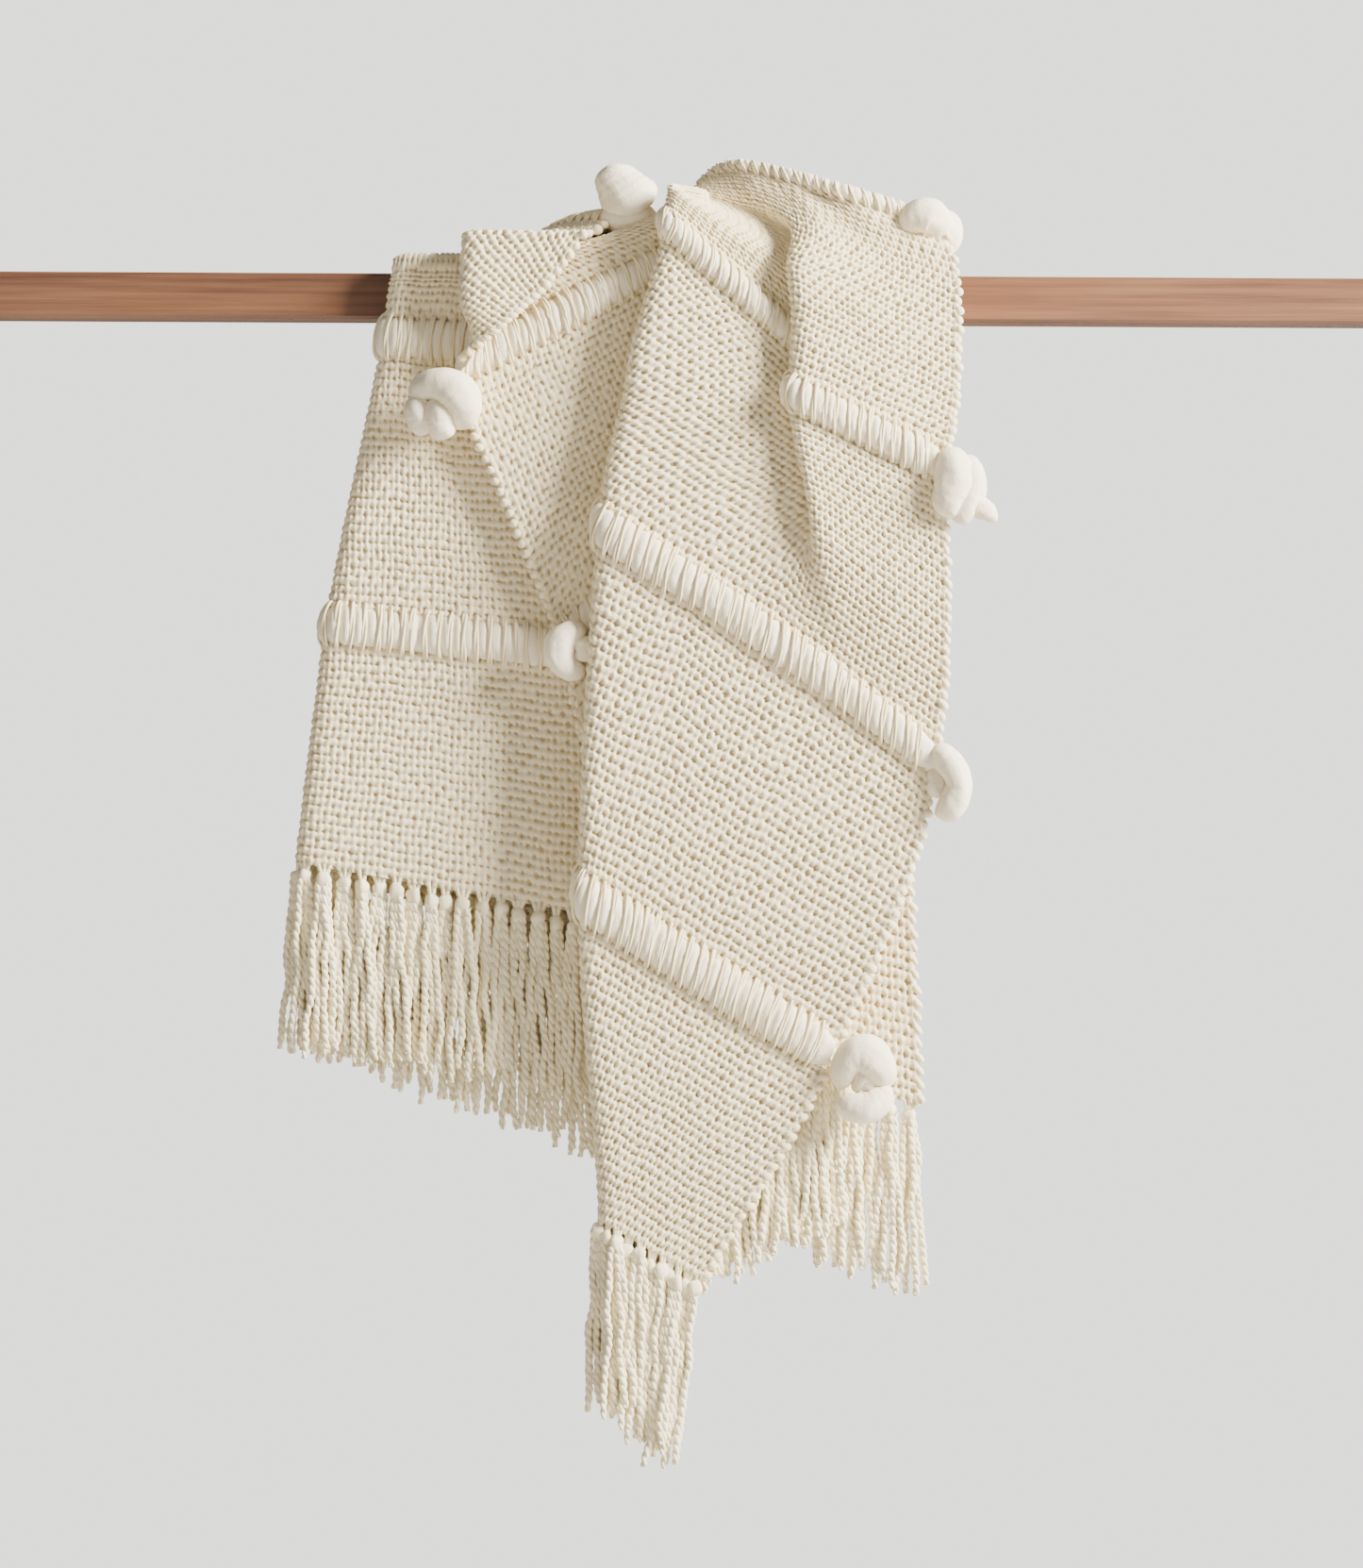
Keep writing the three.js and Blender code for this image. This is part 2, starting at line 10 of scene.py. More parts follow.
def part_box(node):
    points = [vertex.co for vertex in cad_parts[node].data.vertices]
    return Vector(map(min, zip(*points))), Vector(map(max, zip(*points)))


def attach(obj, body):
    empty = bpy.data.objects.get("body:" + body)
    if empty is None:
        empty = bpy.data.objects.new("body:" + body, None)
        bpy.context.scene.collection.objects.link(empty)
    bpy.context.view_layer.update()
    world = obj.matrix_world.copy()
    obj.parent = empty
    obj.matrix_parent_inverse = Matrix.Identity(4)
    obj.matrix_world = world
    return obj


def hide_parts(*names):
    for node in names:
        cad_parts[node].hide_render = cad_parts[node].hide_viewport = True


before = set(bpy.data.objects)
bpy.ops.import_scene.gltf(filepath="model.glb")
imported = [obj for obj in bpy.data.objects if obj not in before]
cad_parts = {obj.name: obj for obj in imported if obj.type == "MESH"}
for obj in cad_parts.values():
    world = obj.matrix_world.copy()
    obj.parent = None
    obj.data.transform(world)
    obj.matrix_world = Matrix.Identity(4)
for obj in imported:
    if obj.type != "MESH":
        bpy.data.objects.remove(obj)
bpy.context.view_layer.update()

bl_info = {
    "name": "Woven throw on a rail",
    "version": (1, 0, 0),
    "blender": (4, 5, 0),
    "location": "View3D > Sidebar > Throw",
    "description": "Builds a draped hand-woven wool throw with roving rows, knots and fringes",
    "category": "Object",
}

MM = 0.001
RAIL_LOW, RAIL_HIGH = (np.array(corner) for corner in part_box("hanging_rail"))
RAIL_MIDDLE = (RAIL_LOW + RAIL_HIGH) / 2
RAIL_HALF = (RAIL_HIGH - RAIL_LOW)[2] / 2 / MM

# Millimetres from the rail's middle: X along the rail, Y towards the wall, Z up.
WEAVE_THICKNESS = 5.0
LAYER_PITCH = 12.0
TOP_PITCH = WEAVE_THICKNESS + 1.0
RAIL_CLEARANCE = 1.0
ROW_PITCH = 195.0
END_MARGIN = 165.0
WIDTH = 620.0


def row_at(k):
    return END_MARGIN + ROW_PITCH * k


LENGTH = row_at(7) + END_MARGIN


def part(a, b, t):
    return a + (b - a) * t


def unit(a):
    """Vectors of length 1 along the last axis. One that is next to nothing stays so."""
    return a / np.maximum(np.linalg.norm(a, axis=-1, keepdims=True), 1e-9)


def run_along(line):
    """How far along a line of points each of them lies."""
    return np.concatenate([[0], np.cumsum(np.linalg.norm(np.diff(line, axis=0), axis=1))])


def beside_rail(n):
    return RAIL_HALF + RAIL_CLEARANCE + LAYER_PITCH * (n + 0.5)


def above_rail(n):
    return RAIL_HALF + WEAVE_THICKNESS / 2 + RAIL_CLEARANCE + TOP_PITCH * n


# ---- The drape: weft lines -----------------------------------------------------------------------
# A spot is (x, y, z, layer, turn, layer step). At a fold the line comes in at layer + turn, goes
# round the spot and leaves at layer - turn.


def spot(x, y, z, n):
    return (x, y, z, n, 0.0, (0, 0, 0))


def fold(here, turn, layer_step):
    return (*here[:4], turn, layer_step)


def front(x, z, n, turn=0.0):
    return (x, -beside_rail(n), z, n, turn, (0, -LAYER_PITCH, 0))


def back(x, z, n, turn=0.0):
    return (x, beside_rail(n), z, n, turn, (0, LAYER_PITCH, 0))


def top(x, y, n, lift=0.0):
    return spot(x, y, above_rail(n) + lift, n)


def top_fold(x, y, n, turn):
    return fold(top(x, y, n), turn, (0, 0, TOP_PITCH))


# Spots of a line, in order: selvedge one, two in the flap, left fold, two behind, pleat fold,
# pleat middle, front fold, front middle, valley fold, ridge fold, right middle, selvedge two.
# Empty spots are spread evenly between their named neighbours.
WEFTS = [
  (0, [
    front(-30, -500, 2), None, None, front(-20, -498, 2), None, None, front(98, -478, 2.5, -0.5),
    front(-5, -528, 3), front(-52, -596, 3.5, -0.5), None, front(-25, -612, 4), front(-8, -622, 4),
    None, front(14, -635, 4)]),
  (row_at(0), [
    front(-40, -420, 2), None, None, front(-30, -412, 2), None, None, front(105, -312, 2.5, -0.5),
    front(20, -345, 3), front(-67, -388, 3.5, -0.5), None, front(-10, -423, 4), front(40, -455, 4),
    None, front(97, -490, 4)]),
  (row_at(1), [
    front(-78, -228, 2), None, None, front(-66, -216, 2), None, None, front(82, -78, 2.5, -0.5),
    front(10, -113, 3), front(-56, -150, 3.5, -0.5), None, front(20, -199, 4), front(90, -246, 4),
    None, front(163, -301, 4)]),
  (part(row_at(1), row_at(2), 0.5), [
    front(-112, -140, 2), None, None, front(-102, -132, 2), None, None, front(45, -28, 2.5, -0.5),
    front(5, -36, 3), front(-38, -46, 3.5, -0.5), None, front(98, -136, 4.2, -0.3),
    front(80, -146, 4.8, -0.3), None, front(169, -207, 4.3)]),
  (row_at(2), [
    front(-147, -51, 2.3), None, None, front(-126, -38, 2), None, None, front(24, 38, 2.5, -0.5),
    front(6, 41, 3), front(-14, 45, 3.5, -0.5), None, front(104, -58, 3.5, -0.5),
    front(66, -66, 4.5, -0.5), None, front(166, -113, 4.6)]),
  (part(row_at(2), row_at(3), 0.25), [
    front(-119, -24, 3.3), None, None, front(-148, -8, 2.6, 0.6), front(-105, 18, 2),
    front(-55, 34, 2), front(18, 64, 2.3, -0.5), front(4, 66, 2.8), front(-13, 68, 3.3, -0.5), None,
    front(100, -12, 3.3, -0.5), front(68, -22, 4.4, -0.5), None, front(173, -75, 4.3)]),
  (part(row_at(2), row_at(3), 0.5), [
    front(-96, -2, 3), spot(-112, -52, 16, 3), spot(-130, -42, 30, 3), top_fold(-147, -26, 2.5, 0.5),
    top(-110, -22, 2), top(-50, -20, 2, 3), top(16, -12, 2, 28), top(4, -26, 2, 33),
    top(-10, -42, 2, 37), None, front(88, 28, 3, -0.5), front(64, 18, 4.2, -0.5), None,
    front(175, -35, 4)]),
  (part(row_at(2), row_at(3), 0.75), [
    spot(-70, -48, 24, 3), top(-85, -34, 3, 3), top(-112, -8, 3, 2), top_fold(-147, 20, 2.5, 0.5),
    top(-110, 22, 2), top(-50, 20, 2, 2), top(-12, 16, 2, 12), top(-4, 4, 2, 26),
    top(-6, -12, 2, 38), top(14, -28, 2, 38), spot(46, -46, 62, 2), spot(84, -64, 44, 3), None,
    spot(175, -66, 6, 3)]),
  (row_at(3), [
    spot(-42, -30, 52, 3), spot(-74, 2, 49, 3), spot(-116, 56, 34, 3), back(-147, -8, 2.5, 0.5),
    back(-110, -12, 2), back(-65, -10, 2), spot(-15, 46, 20, 2), spot(5, 38, 55, 2),
    spot(14, 18, 76, 2), spot(24, -2, 85, 2), spot(36, -22, 84, 2), spot(64, -38, 76, 3),
    spot(100, -56, 64, 3), spot(163, -50, 46, 3)]),
  (part(row_at(3), row_at(4), 0.33), [
    spot(-14, 54, 44, 3), spot(-50, 58, 22, 3), back(-100, -25, 3), back(-147, -68, 2.5, 0.5),
    back(-110, -66, 2), back(-65, -58, 2), back(-20, -40, 2), back(20, -10, 2), spot(48, 40, 32, 2),
    spot(70, 26, 52, 2), spot(90, 8, 58, 2), spot(106, -8, 58, 2), spot(136, -20, 48, 2),
    spot(166, -20, 38, 2)]),
  (part(row_at(3), row_at(4), 0.67), [
    back(40, -28, 3), back(-10, -60, 3), back(-80, -105, 3), back(-147, -130, 2.5, 0.5),
    back(-110, -128, 2), back(-65, -120, 2), back(-20, -108, 2), back(20, -95, 2),
    back(58, -72, 2), back(88, -45, 2), back(112, -15, 2), spot(134, 42, 20, 2),
    spot(152, 24, 34, 2), spot(170, 8, 34, 2)]),
  (row_at(4), [
    back(88, -85, 3), back(30, -110, 3), back(-60, -150, 3), back(-150, -185, 2.5, 0.5),
    back(-115, -180, 2), back(-80, -174, 2), back(-40, -165, 2), back(0, -155, 2),
    back(40, -142, 2), back(75, -128, 2), back(105, -112, 2), back(130, -97, 2), back(150, -82, 2),
    back(168, -68, 2)]),
  (part(row_at(4), row_at(5), 0.28), [
    back(110, -140, 3), back(45, -158, 3), back(-60, -195, 3), back(-158, -226, 2.5, 0.5),
    back(-122, -222, 2), back(-88, -215, 2), back(-50, -206, 2), back(-10, -197, 2),
    back(25, -188, 2), back(58, -180, 2), back(85, -171, 2), back(108, -163, 2), back(128, -155, 2),
    back(145, -148, 2)]),
  (part(row_at(4), row_at(5), 0.4), [
    back(122, -182, 1.5), back(50, -204, 1.5), back(-60, -228, 1.5),
    fold(spot(-166, beside_rail(1.5), -240, 1.5), 0.5, (0, 0, -LAYER_PITCH)),
    back(-130, -228, 1.5), back(-98, -222, 1.5), back(-64, -214, 1.5), back(-30, -207, 1.5),
    back(2, -200, 1.5), back(30, -194, 1.5), back(54, -188, 1.5), back(74, -182, 1.5),
    back(90, -178, 1.5), back(105, -174, 1.5)]),
  (part(row_at(4), row_at(5), 0.52), [
    back(132, -140, 0), back(50, -160, 0), back(-60, -192, 0), back(-172, -214, 0.5, -0.5),
    back(-140, -208, 1), back(-112, -203, 1), back(-84, -198, 1), back(-56, -192, 1),
    back(-30, -187, 1), back(-6, -182, 1), back(16, -178, 1), back(34, -174, 1), back(50, -170, 1),
    back(64, -166, 1)]),
  (row_at(5), [
    back(160, -60, 0), None, None, back(-186, -92, 0.5, -0.5), *[None] * 9,
    back(-52, -74, 1)]),
  (row_at(6) - 98, [
    back(162, 9, 0), None, None, back(-188, 9, 0.5, -0.5), *[None] * 9,
    back(-60, 9, 1)]),
  (row_at(6) - 46, [
    front(160, 7, 0), None, None, front(-191, 10, 0.5, -0.5), *[None] * 9,
    front(-70, 9, 1)]),
  (row_at(6), [
    front(158, -95, 0), None, None, front(-197, -29, 0.5, -0.5), *[None] * 9,
    front(-72, -38, 1)]),
  (row_at(7), [
    front(148, -325, 0), None, None, front(-233, -214, 0.5, -0.5), *[None] * 9,
    front(-58, -232, 1)]),
  (LENGTH, [
    front(156, -526, 0), front(60, -497, 0), front(-100, -420, 0), front(-252, -369, 0.5, -0.5),
    *[None] * 9, front(-54, -403, 1)]),
]


def beside_fold(here, sign):
    """Place and layer of a line just before a fold (sign 1) or just after it (sign -1)."""
    x, y, z, n, turn, step = here
    return np.array([x, y, z, n]) + sign * turn * np.array([*step, 1.0])


def filled(spots):
    """A line's spots, with its empty ones spread evenly between their named neighbours."""
    out = []
    for i, here in enumerate(spots):
        if here is None:
            a = max(k for k in range(i) if spots[k] is not None)
            b = min(k for k in range(i, len(spots)) if spots[k] is not None)
            start, end = beside_fold(spots[a], -1), beside_fold(spots[b], 1)
            here = spot(*(start + (end - start) * (i - a) / (b - a)))
        out.append(here)
    return out


def station_beside(here, neighbour, sign):
    """The station between a spot and its neighbour, set back so that a fold turns round."""
    p = beside_fold(here, sign)
    way = beside_fold(neighbour, -sign) - p
    if not here[4]:
        return p + way / 3
    step = np.array(here[5], float)
    across = step / np.linalg.norm(step)
    flat = way[:3] - across * way[:3].dot(across)
    depth = np.linalg.norm(step) * abs(here[4])
    return p + np.array([*(flat / np.linalg.norm(flat) * depth), 0.0])


def stations_of(spots):
    """A line's stations: each spot, and one on either side of each inner spot."""
    full = filled(spots)
    out = [np.array(full[0][:4])]
    for i in range(1, len(full) - 1):
        here = full[i]
        out.append(station_beside(here, full[i - 1], 1))
        out.append(np.array(here[:4]))
        out.append(station_beside(here, full[i + 1], -1))
    out.append(np.array(full[-1][:4]))
    return np.array(out, float)


def clear_of_rail(p, room=0.0):
    """Moves points that lie too near the rail straight out from its middle."""
    p = p.copy()
    y, z, n = p[..., 1], p[..., 2], p[..., 3]
    wide = (beside_rail(n) + room) / np.maximum(np.abs(y), 0.1)
    high = (above_rail(n) + room) / np.maximum(z, 0.1)
    out = np.where(z > 0, np.minimum(wide, high), wide)
    out = np.where(z < -RAIL_HALF, 1.0, np.maximum(out, 1.0))
    p[..., 1] *= out
    p[..., 2] = np.where(z > 0, z * out, z)
    return p


def even_slope(one, other):
    """The slope where two stretches meet, level where they turn back, so no curve overshoots."""
    same = one * other > 0
    total = np.where(same, one + other, 1.0)
    return np.where(same, 2 * one * other / total, 0.0)


class Drape:
    """The cloth's middle surface, from its weft lines."""

    def __init__(self, wefts):
        self.v = np.array([v for v, _ in wefts], float)
        self.lines = np.array([stations_of(spots) for _, spots in wefts])

    def wefts_at(self, v):
        """The stations of the wefts at v, smooth down the cloth."""
        v = np.atleast_1d(v)
        k = np.clip(np.searchsorted(self.v, v, side="right") - 1, 0, len(self.v) - 2)
        a, b = self.lines[k], self.lines[k + 1]
        before, after = np.maximum(k - 1, 0), np.minimum(k + 2, len(self.v) - 1)
        span = (self.v[k + 1] - self.v[k])[:, None, None]
        t = (v - self.v[k])[:, None, None] / span
        rise = (b - a) / span
        gap0 = np.maximum(self.v[k] - self.v[before], 1e-9)[:, None, None]
        gap1 = np.maximum(self.v[after] - self.v[k + 1], 1e-9)[:, None, None]
        first = (before == k)[:, None, None]
        last = (after == k + 1)[:, None, None]
        leave = np.where(first, rise, even_slope((a - self.lines[before]) / gap0, rise)) * span
        arrive = np.where(last, rise, even_slope(rise, (self.lines[after] - b) / gap1)) * span
        cubic = (2 * t**3 - 3 * t**2 + 1) * a + (t**3 - 2 * t**2 + t) * leave
        return cubic + (3 * t**2 - 2 * t**3) * b + (t**3 - t**2) * arrive

    def grid(self, v, columns):
        """Points spaced evenly along each weft: an array of (weft, column, xyz)."""
        lines = clear_of_rail(self.wefts_at(v))
        fine = np.linspace(0, 1, columns)
        out = np.empty((len(lines), columns, 4))
        for j, line in enumerate(lines):
            run = run_along(line[:, :3])
            for c in range(4):
                out[j, :, c] = np.interp(fine * run[-1], run, line[:, c])
        return out


def smoothed(grid, sigma, axis):
    """A Gaussian blur along one axis. The ends are mirrored through themselves, so they stay."""
    reach = int(math.ceil(sigma * 3))
    g = np.moveaxis(grid, axis, 0)
    reach = min(reach, len(g) - 1)
    weights = np.exp(-0.5 * (np.arange(-reach, reach + 1) / sigma) ** 2)
    weights /= weights.sum()
    low = 2 * g[0] - g[reach:0:-1]
    high = 2 * g[-1] - g[-2 : -reach - 2 : -1]
    padded = np.concatenate([low, g, high])
    out = sum(w * padded[i : i + len(g)] for i, w in enumerate(weights))
    return np.moveaxis(out, 0, axis)


DRAPE = Drape(WEFTS)
COLUMN = 2.0  # millimetres between the columns of the smooth middle surface
LINE = 3.0  # and between its wefts
SOFTEN_ALONG = 5.0  # how far the surface is blurred along the weft, and down the warp
SOFTEN_DOWN = 9.0
SURFACE_ROOM = 0.5  # extra room between the surface and the rail


def middle_surface():
    columns = int(round(WIDTH / COLUMN)) + 1
    v = np.linspace(0, LENGTH, int(round(LENGTH / LINE)) + 1)
    grid = DRAPE.grid(v, columns)
    grid = smoothed(grid, SOFTEN_ALONG / COLUMN, 1)
    grid = smoothed(grid, SOFTEN_DOWN / LINE, 0)
    return clear_of_rail(grid, SURFACE_ROOM)


SURFACE = middle_surface()


def sample(u, v):
    """Points of the middle surface at u and v (millimetres, arrays of one shape)."""
    i = np.clip(u / WIDTH, 0, 1) * (SURFACE.shape[1] - 1)
    j = np.clip(v / LENGTH, 0, 1) * (SURFACE.shape[0] - 1)
    i0 = np.clip(i.astype(int), 0, SURFACE.shape[1] - 2)
    j0 = np.clip(j.astype(int), 0, SURFACE.shape[0] - 2)
    s, t = (i - i0)[..., None], (j - j0)[..., None]
    g = SURFACE[..., :3]
    near = g[j0, i0] * (1 - s) + g[j0, i0 + 1] * s
    far = g[j0 + 1, i0] * (1 - s) + g[j0 + 1, i0 + 1] * s
    return near * (1 - t) + far * t


def frame_at(u, v):
    """Point, unit vectors along u and along v, and the outward normal."""
    p = sample(u, v)
    du = unit(sample(u + COLUMN, v) - sample(u - COLUMN, v))
    dv = unit(sample(u, v + LINE) - sample(u, v - LINE))
    return p, du, dv, unit(np.cross(du, dv))


def to_world(p):
    return np.asarray(p) * MM + RAIL_MIDDLE


# ---- Noise ---------------------------------------------------------------------------------------


def wander(x, seed, scale, octaves=3):
    """A smooth repeatable wander of about -1 to 1 along x."""
    out = 0.0
    for k in range(octaves):
        f = (1.0 + 0.73 * k) / scale
        phase = math.sin(seed * 12.9898 + k * 78.233) * 43.758
        out = out + np.sin(x * f * 2 * math.pi + phase * 7.0) / (1 + 0.6 * k)
    return out / 1.9


def scatter(index, seed=0.0):
    """A repeatable number from 0 to 1 for each whole number."""
    x = np.sin((np.asarray(index, float) + 1.37) * 12.9898 + seed * 4.137) * 43758.5453
    return x - np.floor(x)


# ---- Weave ---------------------------------------------------------------------------------------

WARP_PITCH = 4.4
WEFT_PITCH = 5.8
SELVEDGE = 5.0  # how far in from an edge the scallops reach
SCALLOP = 1.4
EDGE_ROLL = 0.8
ROUND_EDGE = 2.6
HALF_BASE = 0.3  # added to each face's relief
# Half sizes of the beads that a weft and a warp make where they lie on top: across, down, high.
WEFT_BEAD = (2.75, 2.95, 2.2)
WARP_BEAD = (2.4, 3.3, 1.95)
GAP_DEPTH = -0.9  # the bottom of the gaps between yarns


def weave_relief(u, v, face):
    """Height of the cloth's face over its middle, and a mix from 0 to 1 for painted shade in the gaps
    between yarns: 0 deep in a gap, 1 on a yarn.
    """
    u = u + 0.7 * wander(v, 3.1, 67.0) + 0.35 * wander(v + 3 * u, 8.3, 23.0)
    v = v + 0.9 * wander(u, 5.7, 83.0) + 0.45 * wander(u, 1.9, 29.0)
    high = np.full(np.broadcast(u, v).shape, GAP_DEPTH)
    i0 = np.floor(u / WARP_PITCH)
    j0 = np.floor(v / WEFT_PITCH)
    for down in (-1, 0, 1):
        j = j0 + down
        thick = 1 + 0.2 * (scatter(j, 1.0) - 0.5) + 0.1 * wander(u + 31 * j, 2.2, 47.0)
        for along in (-1, 0, 1):
            i = i0 + along
            odd = scatter(i * 7 + j * 131, 3.0) - 0.5
            weft = (np.mod(i + j, 2) < 0.5) == (face > 0)
            x = u - (i + 0.5) * WARP_PITCH - 0.5 * odd
            y = v - (j + 0.5) * WEFT_PITCH - 0.4 * odd
            y = y + np.where(weft, 0.22 * x, 0)
            x = x + np.where(weft, 0, -0.12 * y)
            wide = np.where(weft, WEFT_BEAD[0], WARP_BEAD[0]) * (1 + 0.12 * odd)
            tall = np.where(weft, WEFT_BEAD[1] * thick, WARP_BEAD[1])
            inside = np.clip(1 - (x / wide) ** 2 - (y / tall) ** 2, 0, 1)
            bead = np.where(weft, WEFT_BEAD[2] * thick, WARP_BEAD[2]) * inside**0.55 - 0.1
            high = np.where(inside > 0, np.maximum(high, bead), high)
    # The mix is painted shade: it darkens the colour where the face sinks between yarns.
    return high, np.clip((high + 0.8) / 1.5, 0, 1)


def closed_sheet(front_points, back_points):
    """Vertices and faces of a sheet between two grids of points."""
    rows, columns = front_points.shape[:2]
    count = rows * columns
    verts = np.concatenate([front_points.reshape(-1, 3), back_points.reshape(-1, 3)])
    index = np.arange(count).reshape(rows, columns)

    def quads(a, b, c, d):
        return np.stack([a, b, c, d], axis=-1).reshape(-1, 4)

    upper = quads(index[:-1, :-1], index[:-1, 1:], index[1:, 1:], index[1:, :-1])
    lower = quads(index[:-1, :-1], index[1:, :-1], index[1:, 1:], index[:-1, 1:]) + count
    ring = np.concatenate([index[0, :-1], index[:-1, -1], index[-1, :0:-1], index[:0:-1, 0]])
    after = np.roll(ring, -1)
    wall = quads(ring, ring + count, after + count, after)
    return verts, np.concatenate([upper, lower, wall])


def woven_panel(v0, v1, step):
    """A woven panel's vertices, faces and its mix of painted shade in the gaps between yarns, for the
    stretch of cloth from v0 to v1.
    """
    u1 = np.linspace(0, WIDTH, int(round(WIDTH / step)) + 1)
    v1d = np.linspace(v0, v1, int(round((v1 - v0) / step)) + 1)
    u, v = np.meshgrid(u1, v1d)
    p, du, _, n = frame_at(u, v)
    inside = np.minimum(u, WIDTH - u)
    reach = np.clip(1 - inside / SELVEDGE, 0, 1)
    loop = np.abs(np.cos(math.pi * v / WEFT_PITCH)) ** 0.6
    loop = loop * (0.75 + 0.5 * scatter(np.floor(v / WEFT_PITCH + 0.5), 6.0))
    p = p + du * (np.where(u < WIDTH / 2, -1, 1) * reach * (0.2 + SCALLOP * loop))[..., None]
    thin = np.sqrt(np.clip(1 - (1 - inside / ROUND_EDGE) ** 2, 0, 1))
    thin = np.where(inside > ROUND_EDGE, 1, thin * 0.94 + 0.06)
    # Each face's second value paints shade into its gaps between yarns.
    front_high, front_gap_shade_mix = weave_relief(u, v, 1)
    back_high, back_gap_shade_mix = weave_relief(u, v, -1)
    roll = EDGE_ROLL * loop * np.exp(-(((inside - 2.2) / 1.8) ** 2))
    faces_out = p + n * ((front_high + roll) * thin + HALF_BASE)[..., None]
    faces_in = p - n * ((back_high + roll) * thin + HALF_BASE)[..., None]
    verts, quads = closed_sheet(faces_out, faces_in)
    return verts, quads, np.concatenate([front_gap_shade_mix.ravel(), back_gap_shade_mix.ravel()])


# ---- Round things --------------------------------------------------------------------------------


def ring_quads(rings, sides):
    """Faces that join each ring of points to the next."""
    a = np.arange(rings - 1)[:, None] * sides + np.arange(sides)[None]
    b = np.arange(rings - 1)[:, None] * sides + (np.arange(sides)[None] + 1) % sides
    return np.stack([a, b, b + sides, a + sides], axis=-1).reshape(-1, 4)


def ball_quads(rings, sides):
    """The same, facing the other way."""
    return ring_quads(rings, sides)[:, [0, 3, 2, 1]]


def tube_along(path, radius, sides, up=(0.3, 0.9, 0.2)):
    """A tube along a path of points. radius is one number, one a point or one a vertex."""
    path = np.asarray(path, float)
    count = len(path)
    tangent = unit(np.gradient(path, axis=0))
    side = np.zeros_like(path)
    start = np.array(up, float)
    for k in range(count):
        start = unit(start - tangent[k] * start.dot(tangent[k]))
        side[k] = start
    other = np.cross(tangent, side)
    r = np.asarray(radius, float)
    if r.ndim < 2:
        r = np.broadcast_to(r, (count,))[:, None]
    angle = np.arange(sides) * 2 * math.pi / sides
    ring = side[:, None] * np.cos(angle)[None, :, None] + other[:, None] * np.sin(angle)[None, :, None]
    verts = (path[:, None] + ring * r[..., None]).reshape(-1, 3)
    return verts, ring_quads(count, sides)


def round_grid(rings, sides, pole):
    """Angles down and round a ball, leaving a pinhole of the angle pole at each end."""
    down = np.linspace(pole, math.pi - pole, rings)
    return np.meshgrid(down, np.arange(sides) * 2 * math.pi / sides, indexing="ij")


def ball(centre, axes, rings=7, sides=8):
    """A small ball with three axes."""
    th, ph = round_grid(rings, sides, 0.05)
    ways = np.stack([np.sin(th) * np.cos(ph), np.sin(th) * np.sin(ph), np.cos(th)], axis=-1)
    verts = (ways @ np.array(axes) + centre).reshape(-1, 3)
    return verts, ball_quads(rings, sides)


def joined(parts):
    """One mesh from several (vertices, quads)."""
    verts, quads, base = [], [], 0
    for v, q in parts:
        verts.append(v)
        quads.append(q + base)
        base += len(v)
    return np.concatenate(verts), np.concatenate(quads)


LOOP_PITCH = 7.3
LOOP_HALF = (3.3, 3.3, 3.25)  # across, out of the cloth and down
LOOP_OUT = 0.9  # from the selvedge to a loop's middle


def selvedge_loops(v0, v1):
    """The loops in which the weft turns back, along both selvedges of a panel."""
    v = np.arange(v0 + 4.0, v1 - 3.0, LOOP_PITCH)
    out = []
    for sign, edge in ((-1, 0.0), (1, WIDTH)):
        odd = scatter(np.floor(v), 3.0 + sign) - 0.5
        at = v + 1.2 * odd
        p, du, dv, n = frame_at(np.full(at.shape, edge - sign), at)
        for k in range(len(at)):
            swell = 1 + 0.3 * odd[k]
            tilt = dv[k] + sign * 0.35 * du[k]
            axes = [du[k] * LOOP_HALF[0] * swell, n[k] * LOOP_HALF[1] * swell, tilt * LOOP_HALF[2]]
            out.append(ball(p[k] + du[k] * sign * (1.0 + LOOP_OUT + 1.2 * odd[k]), axes))
    return joined(out)


# ---- Roving rows ---------------------------------------------------------------------------------

ROVING_SIDES = 24
ROVING_RINGS = 560
ROVING_HALF = 13.0  # half the width of a row, down the cloth
ROVING_HIGH = 7.4  # half its height, out of the cloth
ROVING_TAPER = 16.0  # how far from each selvedge a row narrows
CROSSING_PITCH = 8.8
CROSSING_DIP = 0.25  # share of the roving's height that a pair of warps presses in
CROSSING_GROOVE = 2.1  # half width of the groove they press
CROSSING_YARN = 1.0
CROSSING_PAST = 2.6  # how far past the row they reach
YARN_SIDES = 6


def crossings(face, seed):
    """Where the pairs of warps cross one face of a roving row, with each pair's bow."""
    k = np.arange(int((WIDTH - 6) / CROSSING_PITCH))
    u = 3 + (k + (0.5 if face > 0 else 0.98)) * CROSSING_PITCH
    u = u + 2.4 * (scatter(k, seed + face) - 0.5)
    bow = 1.5 * wander(u, seed + 3, 170.0) + 1.2 * (scatter(k, seed + 11) - 0.5)
    return np.clip(u, 2, WIDTH - 2), bow


